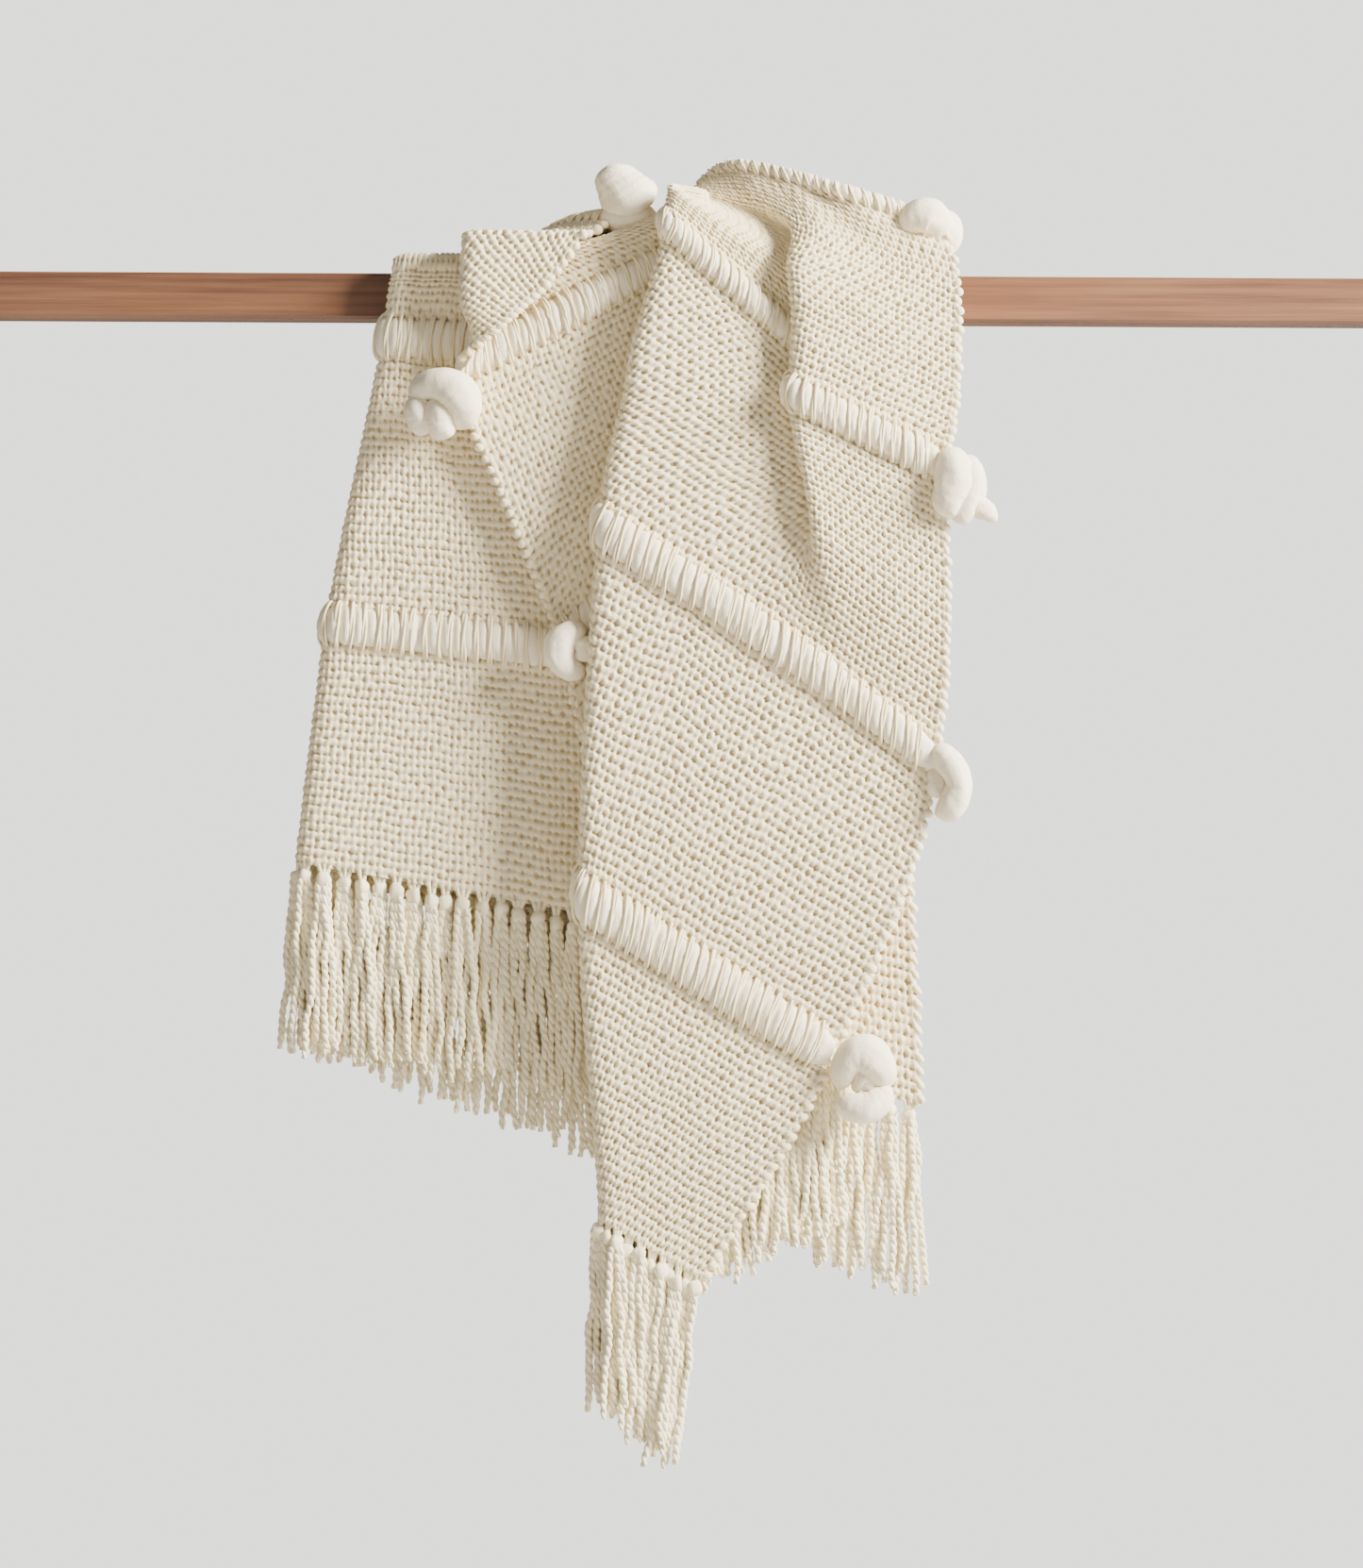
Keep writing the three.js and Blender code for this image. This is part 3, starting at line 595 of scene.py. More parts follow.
def roving_row(v_row, seed):
    """The soft roving body of a row, with a dip under each pair of warps that crosses it."""
    u = np.linspace(-2.0, WIDTH + 2.0, ROVING_RINGS)
    angle = np.arange(ROVING_SIDES) * 2 * math.pi / ROVING_SIDES
    uu, aa = np.meshgrid(u, angle, indexing="ij")
    puff = 1 + 0.06 * wander(u, seed, 61.0) + 0.04 * wander(u, seed + 4, 17.0)
    end = np.clip(np.minimum(u, WIDTH - u) / ROVING_TAPER, 0, 1)
    narrow = 0.55 + 0.45 * np.sqrt(end)
    cos, sin = np.cos(aa), np.sin(aa)
    dip = np.zeros(uu.shape)
    for face in (1, -1):
        for at, bow in zip(*crossings(face, seed)):
            near = np.exp(-(((uu - at - bow * (1 - cos**2)) / CROSSING_GROOVE) ** 2))
            dip += np.where(sin * face > 0, near, 0)
    depth = 1 - CROSSING_DIP * np.clip(dip, 0, 1)
    lean = 0.25 * wander(u, seed + 9, 93.0)[:, None]
    wide = np.sign(cos) * np.abs(cos) ** 0.9
    reach = ROVING_HALF * (puff * narrow)[:, None] * (0.5 + 0.5 * depth)
    v = v_row + reach * wide + lean * 3 * sin
    p, _, _, n = frame_at(uu, v)
    groove = 1 + 0.03 * np.sin(7 * aa + uu / 21.0 + seed) + 0.02 * np.sin(13 * aa - uu / 13.0)
    round_up = np.abs(sin) ** 0.85 * np.sign(sin)
    high = ROVING_HIGH * round_up * (puff * (0.7 + 0.3 * narrow))[:, None] * depth * groove
    verts = (p + n * high[..., None]).reshape(-1, 3)
    return verts, ring_quads(len(u), ROVING_SIDES)


def warps_over(v_row, seed):
    """The thin warps that cross a roving row, two to a crossing and lightly twisted."""
    out = []
    t = np.linspace(-1, 1, 19)
    for face in (1, -1):
        for k, (at, bow) in enumerate(zip(*crossings(face, seed))):
            phase = 6.3 * scatter(k, seed + 5)
            for ply in (0, math.pi):
                aside = CROSSING_YARN * np.cos(phase + 1.7 * t + ply)
                u = np.clip(at + bow * (1 - t**2) + aside, 1, WIDTH - 1)
                v = v_row + t * (ROVING_HALF + CROSSING_PAST)
                p, _, _, n = frame_at(u, v)
                rise = np.sqrt(np.clip(1 - (t * 1.04) ** 2, 0, 1)) * ROVING_HIGH * 0.74
                rise = rise + 1.0 + 0.35 * np.sin(phase + 1.7 * t + ply)
                out.append(tube_along(p + n * (face * rise)[:, None], CROSSING_YARN, YARN_SIDES))
    return joined(out)


# ---- Roving knots --------------------------------------------------------------------------------


FOLD_RINGS = 54
FOLD_SIDES = 30
FOLD_SOFTEN = 4.2  # how many rings a fold's path is blurred over

# A knot is a few thick folds of roving. Each fold is a path of (across, depth, up, radius), with
# depth away from the viewer.
ARCH_KNOT = [
    [
        (-17, 2, 4, 7), (-12, -1, 13, 10), (1, -4, 15, 12),
        (13, -5, 8, 13), (16, -3, -4, 12), (11, 0, -14, 8),
    ],
    [(-12, 3, 7, 6), (-15, -1, -2, 9), (-13, 0, -12, 8), (-9, 3, -17, 5)],
    [(-3, 2, 5, 6), (-1, -4, -5, 10), (1, -3, -13, 10.5), (3, 1, -20, 7)],
    [(-6, 8, 6, 12), (4, 9, -4, 14), (2, 8, -8, 10)],
]
EGG_KNOT = [
    [(-12, 0, 18, 8), (-9, -2, 12, 13), (-3, -2, 4, 16.5), (4, -1, -4, 16.5), (8, 1, -10, 12)],
    [(-14, 2, -10, 7), (-5, -3, -15, 9), (8, -2, -15, 9), (17, 2, -11, 7)],
]
SIDE_KNOT = [
    [(-14, 2, -6, 8), (-9, -2, 6, 13), (1, -4, 9, 14), (8, -1, 2, 12), (6, 3, -8, 8)],
    [(7, 5, 12, 8), (14, 4, 5, 9), (16, 3, -6, 9), (12, 3, -14, 7), (5, 4, -15, 5)],
    [(-8, 4, -4, 9), (0, 3, -8, 9), (6, 5, -6, 8)],
]
TAIL_KNOT = [
    [(0, 0, 22, 7), (-3, -3, 13, 12), (-2, -4, 0, 13), (-6, -2, -12, 12), (-9, 1, -19, 8)],
    [(2, 2, 16, 8), (9, 1, 7, 10), (9, 0, -6, 11), (3, -1, -17, 9), (-3, 2, -21, 6)],
    [(5, 1, -8, 8), (13, 0, -13, 8), (20, 0, -17, 6), (26, 1, -22, 3)],
]
RING_KNOT = [
    [
        (10, 3, 14, 7), (0, -1, 15, 9.5), (-9, -3, 7, 11),
        (-10, -3, -6, 11), (-1, -1, -15, 10), (10, 3, -14, 7),
    ],
    [(6, -1, 10, 6), (10, -2, 2, 8), (8, 0, -8, 7)],
    [(-3, 6, 4, 8), (2, 7, -4, 8)],
]
HOOK_KNOT = [
    [
        (-12, 2, 20, 7), (-4, -2, 17, 10), (6, -4, 9, 11),
        (11, -4, -3, 11.5), (3, -3, -15, 10.5), (-9, 1, -19, 7),
    ],
    [(-11, 4, 10, 7), (-8, 2, 0, 8), (-9, 3, -9, 7)],
    [(-3, 6, 5, 9), (1, 6, -6, 9)],
]
MOUTH_KNOT = [
    [
        (-15, 2, -7, 7), (-13, -1, 6, 11), (-5, -3, 16, 12.5),
        (6, -3, 15, 13), (15, -1, 5, 12), (17, 2, -6, 9),
    ],
    [(-17, 2, -14, 6), (-9, -4, -18, 9), (4, -5, -19, 10), (14, -2, -13, 10), (18, 2, -4, 8)],
    [(-5, 3, 4, 11), (5, 3, 0, 12), (3, 4, -8, 10)],
]


def knot_fold(points, seed):
    """One closed fold of a knot: a thick soft tube with round ends and long fibre grooves."""
    points = np.array(points, float)
    t = np.linspace(0, 1, FOLD_RINGS)
    given = np.linspace(0, 1, len(points))
    path = np.stack([np.interp(t, given, points[:, c]) for c in range(4)], axis=1)
    path = smoothed(path, FOLD_SOFTEN, 0)
    angle = np.arange(FOLD_SIDES) * 2 * math.pi / FOLD_SIDES
    tt, aa = np.meshgrid(t, angle, indexing="ij")
    closed = np.sqrt(np.clip(1 - np.abs(2 * tt - 1) ** 7, 0.0004, 1))
    groove = 1 + 0.022 * np.sin(6 * aa + 5 * tt + seed) + 0.014 * np.sin(13 * aa - 7 * tt + 2 * seed)
    soft = 1 + 0.05 * np.sin(7 * tt + seed) + 0.03 * np.sin(15 * tt + 3 * aa + 2 * seed)
    soft = soft + 0.018 * np.sin(31 * tt - 4 * aa + seed) * np.sin(23 * tt + 5 * aa)
    start, finish = path[0, :3], path[-1, :3]
    line = path[:, :3].copy()
    line[0] += (start - path[3, :3]) * 0.3
    line[-1] += (finish - path[-4, :3]) * 0.3
    return tube_along(line, path[:, 3:] * closed * groove * soft, FOLD_SIDES, up=(0, 1, 0))


def knot_shape(folds, spin, size, seed):
    """A tied roving end about the origin, its folds turned by spin degrees in the cloth's plane."""
    verts, quads = joined([knot_fold(points, seed + 1.3 * k) for k, points in enumerate(folds)])
    turn = Matrix.Rotation(math.radians(spin), 3, "Y")
    return verts @ np.array(turn).T * np.array(size), quads


# ---- Fringes -------------------------------------------------------------------------------------

# Node, end of the cloth, first and last station of its stretch of weft, body.
FRINGES = [
    ("fringe_front", 0, 24, 37, "front_fringe"),
    ("fringe_front_under", 0, 18, 22, "drape"),
    ("fringe_front_behind", 0, 0, 16, "drape"),
    ("fringe_left", 1, 12, 31, "left_fringe"),
    ("fringe_left_under", 1, 31, 37, "drape"),
    ("fringe_left_behind", 1, 7, 10, "drape"),
    ("fringe_middle", 1, 3, 6, "drape"),
    ("fringe_right", 1, 0, 3, "right_fringe"),
]


GATHERED_AT = -34.0  # the front fringe draws in towards this
GATHER = 0.0032  # lean for each millimetre away from there
TWO_WARPS = 0.35  # share of the fringe knots that tie two warps, and not three
KNOT_DROP = 7.5  # from the cloth's end to the highest knots
KNOT_SCATTER = 3.5  # and how much lower others lie
FRINGE_KNOT = (4.7, 4.0, 5.2)  # half sizes: across, out of the cloth and down
ROOT_YARN = 1.5
PLY = 1.65  # radius of one ply
PLY_APART = 1.0  # from a strand's middle to the middle of a ply
TWIST_PITCH = 12.0
STRAND_RINGS = 70
STRAND_PITCH = 3.5
CUT = 14  # how much the lengths of the cut ends differ


def station_run(end):
    """How far along the end weft each station lies, from 0 to WIDTH."""
    run = run_along(DRAPE.wefts_at(LENGTH if end else 0.0)[0][:, :3])
    return run / run[-1] * WIDTH


def fringe_groups(end):
    """The warps that are tied together, as (first warp, count)."""
    groups, i, k = [], 0, 0
    warps = int(WIDTH / WARP_PITCH)
    while i < warps:
        count = 2 if scatter(k, 5.0 + end) < TWO_WARPS else 3
        count = min(count, warps - i)
        groups.append((i, count))
        i += count
        k += 1
    return groups


def strand(start, seed, drop, lean):
    """Two plies twisted round each other, hanging from start."""
    t = np.linspace(0, 1, STRAND_RINGS)
    down = t * drop
    fade = np.minimum(t * 4, 1)
    x = lean[0] * down + fade * 1.6 * wander(down, seed, 71.0)
    y = lean[1] * down + fade * 1.0 * wander(down, seed + 5, 83.0)
    middle = np.stack([start[0] + x, start[1] + y, start[2] - down], axis=1)
    twist = down / TWIST_PITCH * 2 * math.pi + seed
    radius = PLY * (1 - 0.35 * np.clip(t * 14 - 13, 0, 1)) * (1 + 0.12 * wander(down, seed + 2, 23.0))
    out = []
    for ply in (0, math.pi):
        offset = np.stack([np.cos(twist + ply), np.sin(twist + ply), 0 * t], axis=1) * PLY_APART
        out.append(tube_along(middle + offset, radius, YARN_SIDES))
    return out


def fringe_knot(centre, seed):
    """A small overhand knot of several yarns: a lumpy ball, wider than tall."""
    rings, sides = 9, 12
    th, ph = round_grid(rings, sides, 0.08)
    lump = 1 + 0.16 * np.sin(3 * ph + seed) * np.sin(th) + 0.1 * np.cos(2 * th * 2 + 2 * seed + ph)
    x = FRINGE_KNOT[0] * lump * np.sin(th) * np.cos(ph)
    y = FRINGE_KNOT[1] * lump * np.sin(th) * np.sin(ph)
    z = FRINGE_KNOT[2] * lump * np.cos(th)
    verts = (np.stack([x, y, z], axis=-1) + centre).reshape(-1, 3)
    return verts, ball_quads(rings, sides)


def fringe_pieces(length):
    """Meshes of the fringe pieces, by node."""
    pieces = {name: [] for name, *_ in FRINGES}
    for end in (0, 1):
        run = station_run(end)
        stretches = [(name, run[a], run[b]) for name, e, a, b, _ in FRINGES if e == end]
        v = LENGTH if end else 0.0
        inward = -1 if end else 1
        for k, (first, count) in enumerate(fringe_groups(end)):
            middle = (first + count / 2) * WARP_PITCH
            name = min(stretches, key=lambda s: max(s[1] - middle, middle - s[2], 0))[0]
            seed = 17.0 * end + k * 1.7
            p, _, dv, n = frame_at(np.array([middle]), np.array([v + inward * 1.0]))
            away = unit(-dv[0] * inward * 0.35 + np.array([0, 0, -1.0]))
            side = 1.4 if k % 2 else -1.0
            gather = (GATHERED_AT - p[0, 0]) * GATHER if name == "fringe_front" else 0.0
            centre = p[0] + away * (KNOT_DROP + KNOT_SCATTER * scatter(k, 7.0 + end)) + n[0] * side
            parts = pieces[name]
            parts.append(fringe_knot(centre, seed))
            for i in range(first, first + count):
                u = min((i + 0.5) * WARP_PITCH, WIDTH - 1.0)
                root, _, _, _ = frame_at(np.array([u]), np.array([v + inward * 4.0]))
                bend = (root[0] + centre) / 2 + away * 1.0
                steps = np.linspace(0, 1, 8)[:, None]
                line = root[0] * (1 - steps) ** 2 + 2 * bend * steps * (1 - steps) + centre * steps**2
                parts.append(tube_along(line, ROOT_YARN, YARN_SIDES))
            for i in range(count + 1):
                spread = (i - count / 2) * STRAND_PITCH
                start = centre + np.array([spread * 0.55, (scatter(i + 3 * k, 4.0) - 0.5) * 3.0, -2.0])
                lean = (
                    gather + spread * 0.012 + 0.05 * (scatter(k, 9.0) - 0.5),
                    0.05 * (scatter(k + i, 3.0) - 0.5),
                )
                drop = length - 2 + CUT * (scatter(k * 5 + i, 1.0) - 0.5)
                parts.extend(strand(start, seed + i * 2.9, drop, lean))
    return {name: joined(parts) for name, parts in pieces.items() if parts}


# ---- Blender helpers -----------------------------------------------------------------------------


def mesh_object(name, verts, quads, material, body, slot, gap_shade_mix=None):
    """A smooth mesh object from millimetre points, with one material, riding on a body."""
    mesh = bpy.data.meshes.new(name)
    points = to_world(verts).astype(np.float32)
    mesh.vertices.add(len(points))
    mesh.vertices.foreach_set("co", points.ravel())
    mesh.loops.add(quads.size)
    mesh.loops.foreach_set("vertex_index", quads.astype(np.int32).ravel())
    mesh.polygons.add(len(quads))
    mesh.polygons.foreach_set("loop_start", np.arange(len(quads), dtype=np.int32) * 4)
    mesh.update(calc_edges=True)
    mesh.polygons.foreach_set("use_smooth", np.ones(len(quads), dtype=bool))
    # Stores the mix that paints shade into the gaps between yarns, for the material to read.
    if gap_shade_mix is not None:
        layer = mesh.attributes.new("gap_shade_mix", "FLOAT", "POINT")
        layer.data.foreach_set("value", gap_shade_mix.astype(np.float32))
    mesh.materials.append(material)
    obj = bpy.data.objects.new(name, mesh)
    bpy.context.scene.collection.objects.link(obj)
    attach(obj, body)
    return obj


# ---- Shader groups -------------------------------------------------------------------------------


def new_group(name, inputs, outputs):
    group = bpy.data.node_groups.new(name, "ShaderNodeTree")
    for label, kind, default in inputs:
        socket = group.interface.new_socket(label, in_out="INPUT", socket_type=kind)
        socket.default_value = default
    for label, kind in outputs:
        group.interface.new_socket(label, in_out="OUTPUT", socket_type=kind)
    start = group.nodes.new("NodeGroupInput")
    end = group.nodes.new("NodeGroupOutput")
    return group, start, end


def node(tree, kind, links=(), **values):
    """A node with its properties and inputs set, and its inputs linked."""
    made = tree.nodes.new(kind)
    for key, value in values.items():
        if hasattr(made, key):
            setattr(made, key, value)
        else:
            made.inputs[key.replace("_", " ")].default_value = value
    for socket, source in links:
        tree.links.new(source, made.inputs[socket])
    return made


def fibre_group():
    """Fine wool fibre: a value for colour and a height for bump, from object coordinates."""
    group, start, end = new_group(
        "Wool fibre",
        [("Scale", "NodeSocketFloat", 900.0), ("Clump Scale", "NodeSocketFloat", 120.0)],
        [("Shade", "NodeSocketFloat"), ("Height", "NodeSocketFloat")],
    )
    place = node(group, "ShaderNodeTexCoord").outputs["Object"]
    clump = start.outputs["Clump Scale"]
    warp = node(group, "ShaderNodeTexNoise", [("Vector", place), ("Scale", clump)], Detail=3.0)
    bent = node(group, "ShaderNodeVectorMath", [(0, warp.outputs["Color"])], operation="SCALE", Scale=0.004)
    moved = node(group, "ShaderNodeVectorMath", [(0, place), (1, bent.outputs[0])], operation="ADD")
    fine = node(
        group, "ShaderNodeTexNoise", [("Vector", moved.outputs[0]), ("Scale", start.outputs["Scale"])],
        Detail=4.0, Roughness=0.7,
    )
    pair = [(0, fine.outputs["Fac"]), (1, warp.outputs["Fac"])]
    both = node(group, "ShaderNodeMath", pair, operation="ADD")
    half = node(group, "ShaderNodeMath", [(0, both.outputs[0])], operation="MULTIPLY")
    half.inputs[1].default_value = 0.5
    group.links.new(half.outputs[0], end.inputs["Shade"])
    group.links.new(fine.outputs["Fac"], end.inputs["Height"])
    return group


def tone_group():
    """Mixes a deep and a light colour by a random fibre shade value and by a mix of painted shade in the
    gaps between yarns.
    """
    group, start, end = new_group(
        "Wool tone",
        [
            ("Deep", "NodeSocketColor", (0.3, 0.22, 0.14, 1)),
            ("Light", "NodeSocketColor", (0.8, 0.72, 0.6, 1)),
            ("Shade", "NodeSocketFloat", 0.5),
            ("Gap Shade Mix", "NodeSocketFloat", 1.0),
        ],
        [("Color", "NodeSocketColor")],
    )
    mottle = node(
        group, "ShaderNodeMapRange", [("Value", start.outputs["Shade"])],
        From_Min=0.3, From_Max=0.7, To_Min=0.86, To_Max=1.0,
    )
    # Painted shade: where the gap shade mix is 0 the colour turns to the deep one.
    pair = [(0, mottle.outputs[0]), (1, start.outputs["Gap Shade Mix"])]
    mask = node(group, "ShaderNodeMath", pair, operation="MULTIPLY")
    ends = [(0, mask.outputs[0]), (6, start.outputs["Deep"]), (7, start.outputs["Light"])]
    mix = node(group, "ShaderNodeMix", ends, data_type="RGBA")
    group.links.new(mix.outputs[2], end.inputs["Color"])
    return group


def new_material(name, values):
    """A material, its node tree and its shader, with values on the shader's own sockets."""
    material = bpy.data.materials.new(name)
    material.use_nodes = True
    shader = material.node_tree.nodes["Principled BSDF"]
    for socket, value in values.items():
        shader.inputs[socket].default_value = value
    return material, material.node_tree, shader


def wool_material(name, fibre, tone, deep, light, scale, bump, gap_shade_mix=False):
    plain = {"Roughness": 0.92, "Specular IOR Level": 0.15, "Sheen Weight": 0.1, "Sheen Roughness": 0.6}
    material, tree, shader = new_material(name, plain)
    grain = node(tree, "ShaderNodeGroup", node_tree=fibre, Scale=scale)
    shade = [("Shade", grain.outputs["Shade"])]
    colour = node(tree, "ShaderNodeGroup", shade, node_tree=tone, Deep=(*deep, 1), Light=(*light, 1))
    # Paints shade into the gaps between yarns from the mesh's stored mix.
    if gap_shade_mix:
        layer = node(tree, "ShaderNodeAttribute", attribute_name="gap_shade_mix")
        tree.links.new(layer.outputs["Fac"], colour.inputs["Gap Shade Mix"])
    tree.links.new(colour.outputs["Color"], shader.inputs["Base Color"])
    height = [("Height", grain.outputs["Height"])]
    relief = node(tree, "ShaderNodeBump", height, Strength=bump, Distance=0.0012)
    tree.links.new(relief.outputs["Normal"], shader.inputs["Normal"])
    return material


def wood_material(dark, light):
    material, tree, shader = new_material("Oiled wood", {"Coat Weight": 0.08})
    place = node(tree, "ShaderNodeTexCoord").outputs["Object"]
    stretch = node(tree, "ShaderNodeMapping", [("Vector", place)], Scale=(3.0, 130.0, 130.0))
    grain = node(
        tree, "ShaderNodeTexNoise", [("Vector", stretch.outputs[0])], Scale=2.2, Detail=6.0, Roughness=0.62,
    )
    broad = node(tree, "ShaderNodeMapping", [("Vector", place)], Scale=(1.2, 26.0, 26.0))
    band = node(tree, "ShaderNodeTexNoise", [("Vector", broad.outputs[0])], Scale=2.0, Detail=2.0)
    pair = [(0, grain.outputs["Fac"]), (1, band.outputs["Fac"])]
    both = node(tree, "ShaderNodeMath", pair, operation="ADD")
    spread = node(tree, "ShaderNodeMapRange", [("Value", both.outputs[0])], From_Min=0.75, From_Max=1.25)
    mix = node(tree, "ShaderNodeMix", [(0, spread.outputs[0])], data_type="RGBA")
    mix.inputs[6].default_value = (*dark, 1)
    mix.inputs[7].default_value = (*light, 1)
    tree.links.new(mix.outputs[2], shader.inputs["Base Color"])
    rough = node(tree, "ShaderNodeMapRange", [("Value", grain.outputs["Fac"])], To_Min=0.42, To_Max=0.62)
    tree.links.new(rough.outputs[0], shader.inputs["Roughness"])
    height = [("Height", grain.outputs["Fac"])]
    relief = node(tree, "ShaderNodeBump", height, Strength=0.25, Distance=0.0006)
    tree.links.new(relief.outputs["Normal"], shader.inputs["Normal"])
    return material


# ---- What the pieces are -------------------------------------------------------------------------

PANELS = [
    "woven_front_hem", "woven_front_lower", "woven_front_upper", "woven_rail_crossing", "woven_back_fall",
    "woven_back_loop", "woven_left_crossing", "woven_left_upper", "woven_left_hem",
]
HIDDEN_PANELS = {"woven_back_loop"}
ROWS = [
    "roving_front_low", "roving_front_middle", "roving_front_high", "roving_rail_top",
    "roving_back_fall", "roving_back_rise", "roving_left_high", "roving_left_low",
]
# Node, centre, folds, spin, size.
KNOTS = [
    ("front_low_knot_a", front(-50, -423, 2), ARCH_KNOT, 10, (0.55, 0.34, 0.8)),
    ("front_low_knot_b", front(116, -505, 4.3), MOUTH_KNOT, 0, (0.9, 0.9, 1.02)),
    ("front_middle_knot_a", front(-71, -232, 2.8), RING_KNOT, 0, (0.9, 0.7, 0.86)),
    ("front_middle_knot_b", front(170, -316, 4.2), HOOK_KNOT, 0, (0.8, 0.86, 1.02)),
    ("front_high_knot_a", front(-156, -76, 3.3), ARCH_KNOT, 0, (1.0, 1.05, 0.98)),
    ("front_high_knot_b", front(175, -125, 4.8), TAIL_KNOT, 0, (0.98, 0.84, 1.04)),
    ("rail_top_knot_a", top(-37, -34, 3, 27), EGG_KNOT, 0, (1.08, 0.9, 1.02)),
    ("rail_top_knot_b", top(156, -54, 3, 4), SIDE_KNOT, 0, (0.98, 0.9, 0.9)),
    ("back_fall_knot_a", back(101, -82, 4.2), ARCH_KNOT, 190, (0.86, 0.86, 0.86)),
    ("back_fall_knot_b", back(151, -72, 3.6), SIDE_KNOT, 180, (0.82, 0.86, 0.86)),
    ("back_rise_knot_a", back(150, -64, 1), ARCH_KNOT, 80, (0.62, 0.34, 0.8)),
    ("back_rise_knot_b", back(-36, -76, 1), HOOK_KNOT, 50, (0.62, 0.34, 0.8)),
    ("left_high_knot_a", front(148, -98, 1.5), MOUTH_KNOT, 80, (0.62, 0.6, 0.8)),
    ("left_high_knot_b", front(-60, -40, 1), ARCH_KNOT, 20, (0.6, 0.34, 0.8)),
    ("left_low_knot_a", front(136, -328, 1.5), HOOK_KNOT, 150, (0.62, 0.6, 0.8)),
    ("left_low_knot_b", front(-46, -233, 1), ARCH_KNOT, 90, (0.6, 0.34, 0.8)),
]


# ---- Settings ------------------------------------------------------------------------------------


def colour(name, description, default):
    return FloatVectorProperty(
        name=name, description=description, default=default, size=3, min=0, max=1, subtype="COLOR",
    )


def length(name, description, default, low, high):
    return FloatProperty(
        name=name, description=description, default=default, min=low, max=high, unit="LENGTH",
    )


def strength(name, description, default):
    return FloatProperty(name=name, description=description, default=default, min=0, max=5)


class ThrowSizes(bpy.types.PropertyGroup):
    """Sizes of the visible throw."""

    detail: length("Weave detail", "Distance between points of the weave", 0.00125, 0.001, 0.01)
    fringe_drop: length("Fringe", "Length of the fringe below its knots", 0.11, 0.02, 0.3)
    knot_size: FloatProperty(
        name="Knot size", description="Size of the tied roving ends", default=100.0, min=50, max=150,
        subtype="PERCENTAGE",
    )
    camera_distance: length("Camera distance", "From the camera to the rail", 3.0, 1, 10)
    floor_drop: length("Floor", "Height of the rail over the floor", 1.7, 0.8, 3)
    room_light: strength("Room light", "Strength of the light from all round", 0.25)
    room_seen: strength("Room brightness", "Brightness of the room seen behind the throw", 2.6)
    floor_sides: IntProperty(
        name="Floor sides", description="Number of corners of the round floor", default=96, min=8, max=256,
    )


class ThrowColours(bpy.types.PropertyGroup):
    """Colours of the throw, the rail and the room."""

    wool: colour("Wool", "Woven yarn in the light", (0.93, 0.8, 0.52))
    # Deep wool is painted shade in the gaps between yarns of the woven panels, and a random darker mottle
    # of the fibre everywhere it is used.
    wool_gap_shade_and_mottle: colour("Deep wool", "Woven yarn in the gaps between yarns", (0.64, 0.46, 0.23))
    roving: colour("Roving", "Unspun roving in the light", (0.92, 0.82, 0.61))
    roving_deep: colour("Deep roving", "Unspun roving in its grooves", (0.75, 0.58, 0.34))
    fringe: colour("Fringe", "Plied fringe yarn", (0.96, 0.85, 0.58))
    wood_light: colour("Light wood", "Light grain of the rail", (0.2, 0.085, 0.036))
    wood_dark: colour("Dark wood", "Dark grain of the rail", (0.075, 0.026, 0.011))
    room: colour("Room", "Floor and surroundings", (0.8, 0.785, 0.76))


def sizes():
    return bpy.context.scene.throw_sizes


def colours():
    return bpy.context.scene.throw_colours


def groups():
    """The shader groups that the wool materials share, made once."""
    known = bpy.data.node_groups
    fibre = known.get("Wool fibre") or fibre_group()
    tone = known.get("Wool tone") or tone_group()
    return fibre, tone


def roving_material():
    """The rows and the knots share one material, made once."""
    c = colours()
    known = bpy.data.materials.get("Roving")
    return known or wool_material("Roving", *groups(), c.roving_deep, c.roving, 420.0, 0.5)


# ---- Operators -----------------------------------------------------------------------------------


class THROW_OT_weave(bpy.types.Operator):
    """Build the woven panels of the throw"""

    bl_idname = "throw.weave"
    bl_label = "Woven panels"

    def execute(self, context):
        c = colours()
        # The woven cloth paints shade into the gaps between its yarns; the selvedges only mottle.
        cloth = wool_material("Woven wool", *groups(), c.wool_gap_shade_and_mottle, c.wool, 700.0, 0.55, gap_shade_mix=True)
        plain = wool_material("Selvedge wool", *groups(), c.wool_gap_shade_and_mottle, c.wool, 900.0, 0.5)
        step = sizes().detail / MM
        for k, name in enumerate(PANELS):
            v0 = 0.0 if k == 0 else row_at(k - 1) + ROVING_HALF - 2.5
            v1 = LENGTH if k == len(PANELS) - 1 else row_at(k) - ROVING_HALF + 2.5
            fine = step * (1.5 if name in HIDDEN_PANELS else 1.0)
            verts, quads, gap_shade_mix = woven_panel(v0, v1, fine)
            panel = mesh_object(name + "_cloth", verts, quads, cloth, "drape", "weave", gap_shade_mix)
            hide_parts(name)
            mesh_object(name + "_selvedges", *selvedge_loops(v0, v1), plain, "drape", "weave")
        return {"FINISHED"}


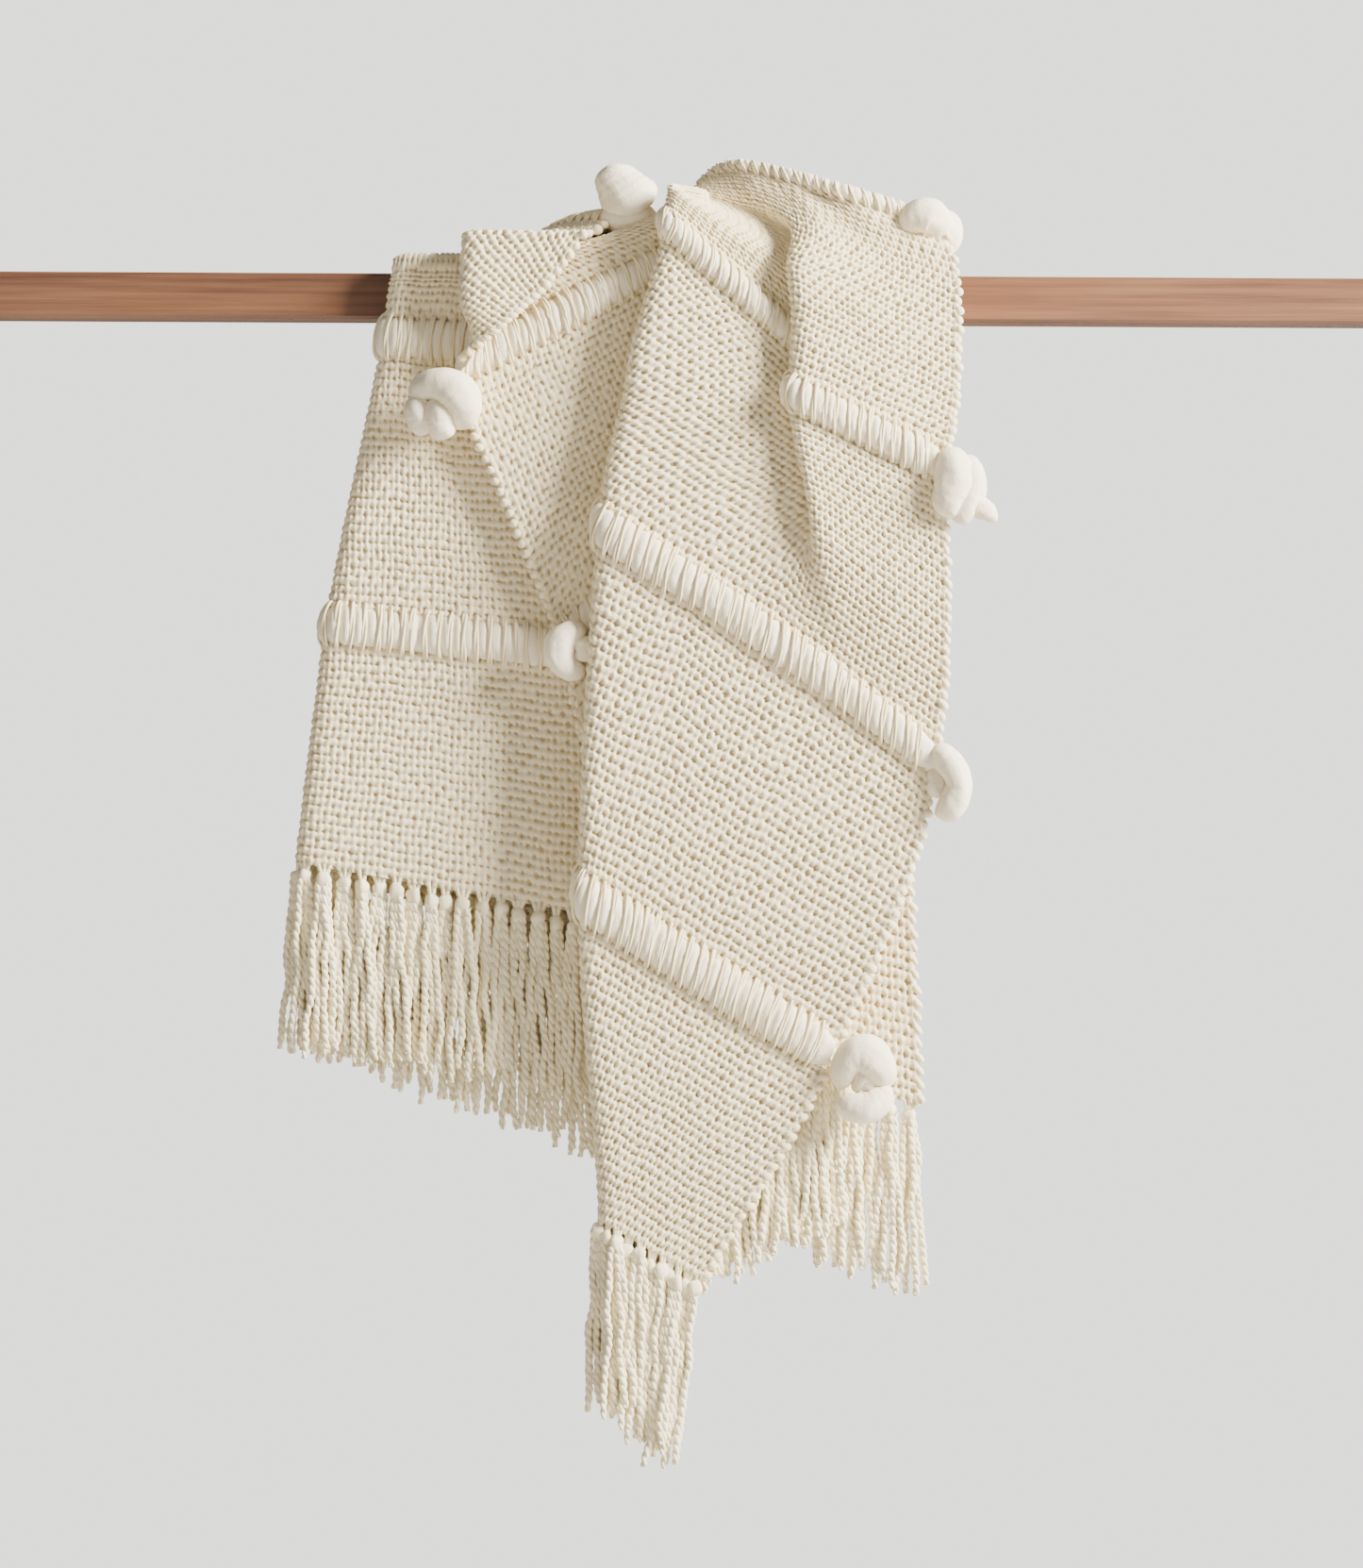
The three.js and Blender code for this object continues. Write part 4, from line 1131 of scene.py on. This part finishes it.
class THROW_OT_roving(bpy.types.Operator):
    """Build the thick roving rows and the warps that cross them"""

    bl_idname = "throw.roving"
    bl_label = "Roving rows"

    def execute(self, context):
        c = colours()
        soft = roving_material()
        yarn = wool_material("Warp yarn", *groups(), c.wool_gap_shade_and_mottle, c.wool, 900.0, 0.5)
        for k, name in enumerate(ROWS):
            shape = roving_row(row_at(k), 3.0 + k * 1.9)
            body = mesh_object(name + "_soft", *shape, soft, "drape", "roving")
            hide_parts(name)
            mesh_object(name + "_warps", *warps_over(row_at(k), k), yarn, "drape", "weave")
        return {"FINISHED"}


class THROW_OT_knots(bpy.types.Operator):
    """Build the tied ends of the roving rows"""

    bl_idname = "throw.knots"
    bl_label = "Roving knots"

    def execute(self, context):
        soft = roving_material()
        grow = sizes().knot_size / 100
        for k, (name, at, folds, spin, size) in enumerate(KNOTS):
            verts, quads = knot_shape(folds, spin, [s * grow for s in size], 1.0 + k * 2.3)
            verts = verts + np.array(at[:3])
            knot = mesh_object("roving_" + name + "_tied", verts, quads, soft, "drape", "roving")
            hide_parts("roving_" + name)
        return {"FINISHED"}


class THROW_OT_fringes(bpy.types.Operator):
    """Build the knotted fringes of both ends"""

    bl_idname = "throw.fringes"
    bl_label = "Fringes"

    def execute(self, context):
        c = colours()
        yarn = wool_material("Fringe yarn", *groups(), c.wool_gap_shade_and_mottle, c.fringe, 900.0, 0.5)
        made = fringe_pieces(sizes().fringe_drop / MM)
        for name, _, _, _, body in FRINGES:
            if name in made:
                piece = mesh_object(name + "_yarns", *made[name], yarn, body, "fringe")
                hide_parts(name)
        return {"FINISHED"}


class THROW_OT_rail(bpy.types.Operator):
    """Finish the rail in oiled wood"""

    bl_idname = "throw.rail"
    bl_label = "Rail"

    def execute(self, context):
        c = colours()
        rail = bpy.data.objects["hanging_rail"]
        wood = wood_material(c.wood_dark, c.wood_light)
        rail.data.materials.clear()
        rail.data.materials.append(wood)
        return {"FINISHED"}


FLOOR_RADIUS = 3.0
LIT_POINT = (0, 0, -0.3)
# Name, place from the rail's middle, size, watts, colour.
LIGHTS = [
    ("window", (2.3, -1.05, 0.95), (0.9, 1.2), 500, (1.0, 0.97, 0.92)),
    ("rear", (1.4, 2.4, 0.7), (2.0, 2.0), 90, (1.0, 0.98, 0.95)),
    ("fill", (-1.6, -2.4, 0.2), (2.0, 2.0), 20, (1.0, 0.98, 0.95)),
]
SENSOR_HEIGHT = 24.0
VIEW_HEIGHT = 1.0281  # metres seen from top to bottom at the rail
CAMERA_BELOW = -0.3173
CAMERA_ROLL = -0.3


def area_light(name, place, target, size, watts, tint):
    data = bpy.data.lights.new(name, "AREA")
    data.shape = "RECTANGLE"
    data.size, data.size_y = size
    data.energy = watts
    data.color = tint
    light = bpy.data.objects.new(name, data)
    bpy.context.scene.collection.objects.link(light)
    light.location = place
    light.rotation_euler = (Vector(target) - Vector(place)).to_track_quat("-Z", "Y").to_euler()
    return light


class THROW_OT_stage(bpy.types.Operator):
    """Build the floor, the lights and the camera"""

    bl_idname = "throw.stage"
    bl_label = "Stage"

    def execute(self, context):
        s, c = sizes(), colours()
        scene = context.scene
        middle = Vector(RAIL_MIDDLE)
        count = s.floor_sides
        turns = [2 * math.pi * i / count for i in range(count)]
        ring = [(FLOOR_RADIUS * math.cos(t), FLOOR_RADIUS * math.sin(t), 0) for t in turns]
        mesh = bpy.data.meshes.new("floor")
        mesh.from_pydata(ring, [], [list(range(count))])
        paint, _, _ = new_material("Floor", {"Base Color": (*c.room, 1), "Roughness": 0.9})
        mesh.materials.append(paint)
        floor = bpy.data.objects.new("floor", mesh)
        scene.collection.objects.link(floor)
        floor.location = middle - Vector((0, 0, s.floor_drop))

        world = scene.world or bpy.data.worlds.new("Room")
        scene.world = world
        world.use_nodes = True
        sky = world.node_tree.nodes.get("Background")
        sky.inputs["Color"].default_value = (*c.room, 1)
        tree = world.node_tree
        from_camera = node(tree, "ShaderNodeLightPath").outputs["Is Camera Ray"]
        levels = {"To_Min": s.room_light, "To_Max": s.room_seen}
        seen = node(tree, "ShaderNodeMapRange", [("Value", from_camera)], **levels)
        tree.links.new(seen.outputs[0], sky.inputs["Strength"])

        target = middle + Vector(LIT_POINT)
        for name, place, size, watts, tint in LIGHTS:
            area_light(name, middle + Vector(place), target, size, watts, tint)

        data = bpy.data.cameras.new("Camera")
        data.sensor_fit = "VERTICAL"
        data.sensor_height = SENSOR_HEIGHT
        data.lens = SENSOR_HEIGHT * s.camera_distance / VIEW_HEIGHT
        camera = bpy.data.objects.new("Camera", data)
        scene.collection.objects.link(camera)
        camera.location = middle + Vector((0, -s.camera_distance, CAMERA_BELOW))
        camera.rotation_euler = (math.pi / 2, math.radians(CAMERA_ROLL), 0)
        scene.camera = camera
        return {"FINISHED"}


class THROW_PT_panel(bpy.types.Panel):
    """Lists the throw's pieces, sizes and colours"""

    bl_label = "Woven throw"
    bl_idname = "THROW_PT_panel"
    bl_space_type = "VIEW_3D"
    bl_region_type = "UI"
    bl_category = "Throw"

    def draw(self, context):
        layout = self.layout
        for operator in OPERATORS:
            layout.operator(operator.bl_idname)
        for settings in (context.scene.throw_sizes, context.scene.throw_colours):
            column = layout.column()
            for key in settings.__annotations__:
                column.prop(settings, key)


OPERATORS = [
    THROW_OT_weave, THROW_OT_roving, THROW_OT_knots, THROW_OT_fringes, THROW_OT_rail, THROW_OT_stage,
]
CLASSES = [ThrowSizes, ThrowColours, *OPERATORS, THROW_PT_panel]


def register():
    for cls in CLASSES:
        bpy.utils.register_class(cls)
    bpy.types.Scene.throw_sizes = PointerProperty(type=ThrowSizes)
    bpy.types.Scene.throw_colours = PointerProperty(type=ThrowColours)


def unregister():
    del bpy.types.Scene.throw_colours
    del bpy.types.Scene.throw_sizes
    for cls in reversed(CLASSES):
        bpy.utils.unregister_class(cls)


def main():
    register()
    for operator in OPERATORS:
        space, name = operator.bl_idname.split(".")
        getattr(getattr(bpy.ops, space), name)()


if __name__ == "__main__":
    main()
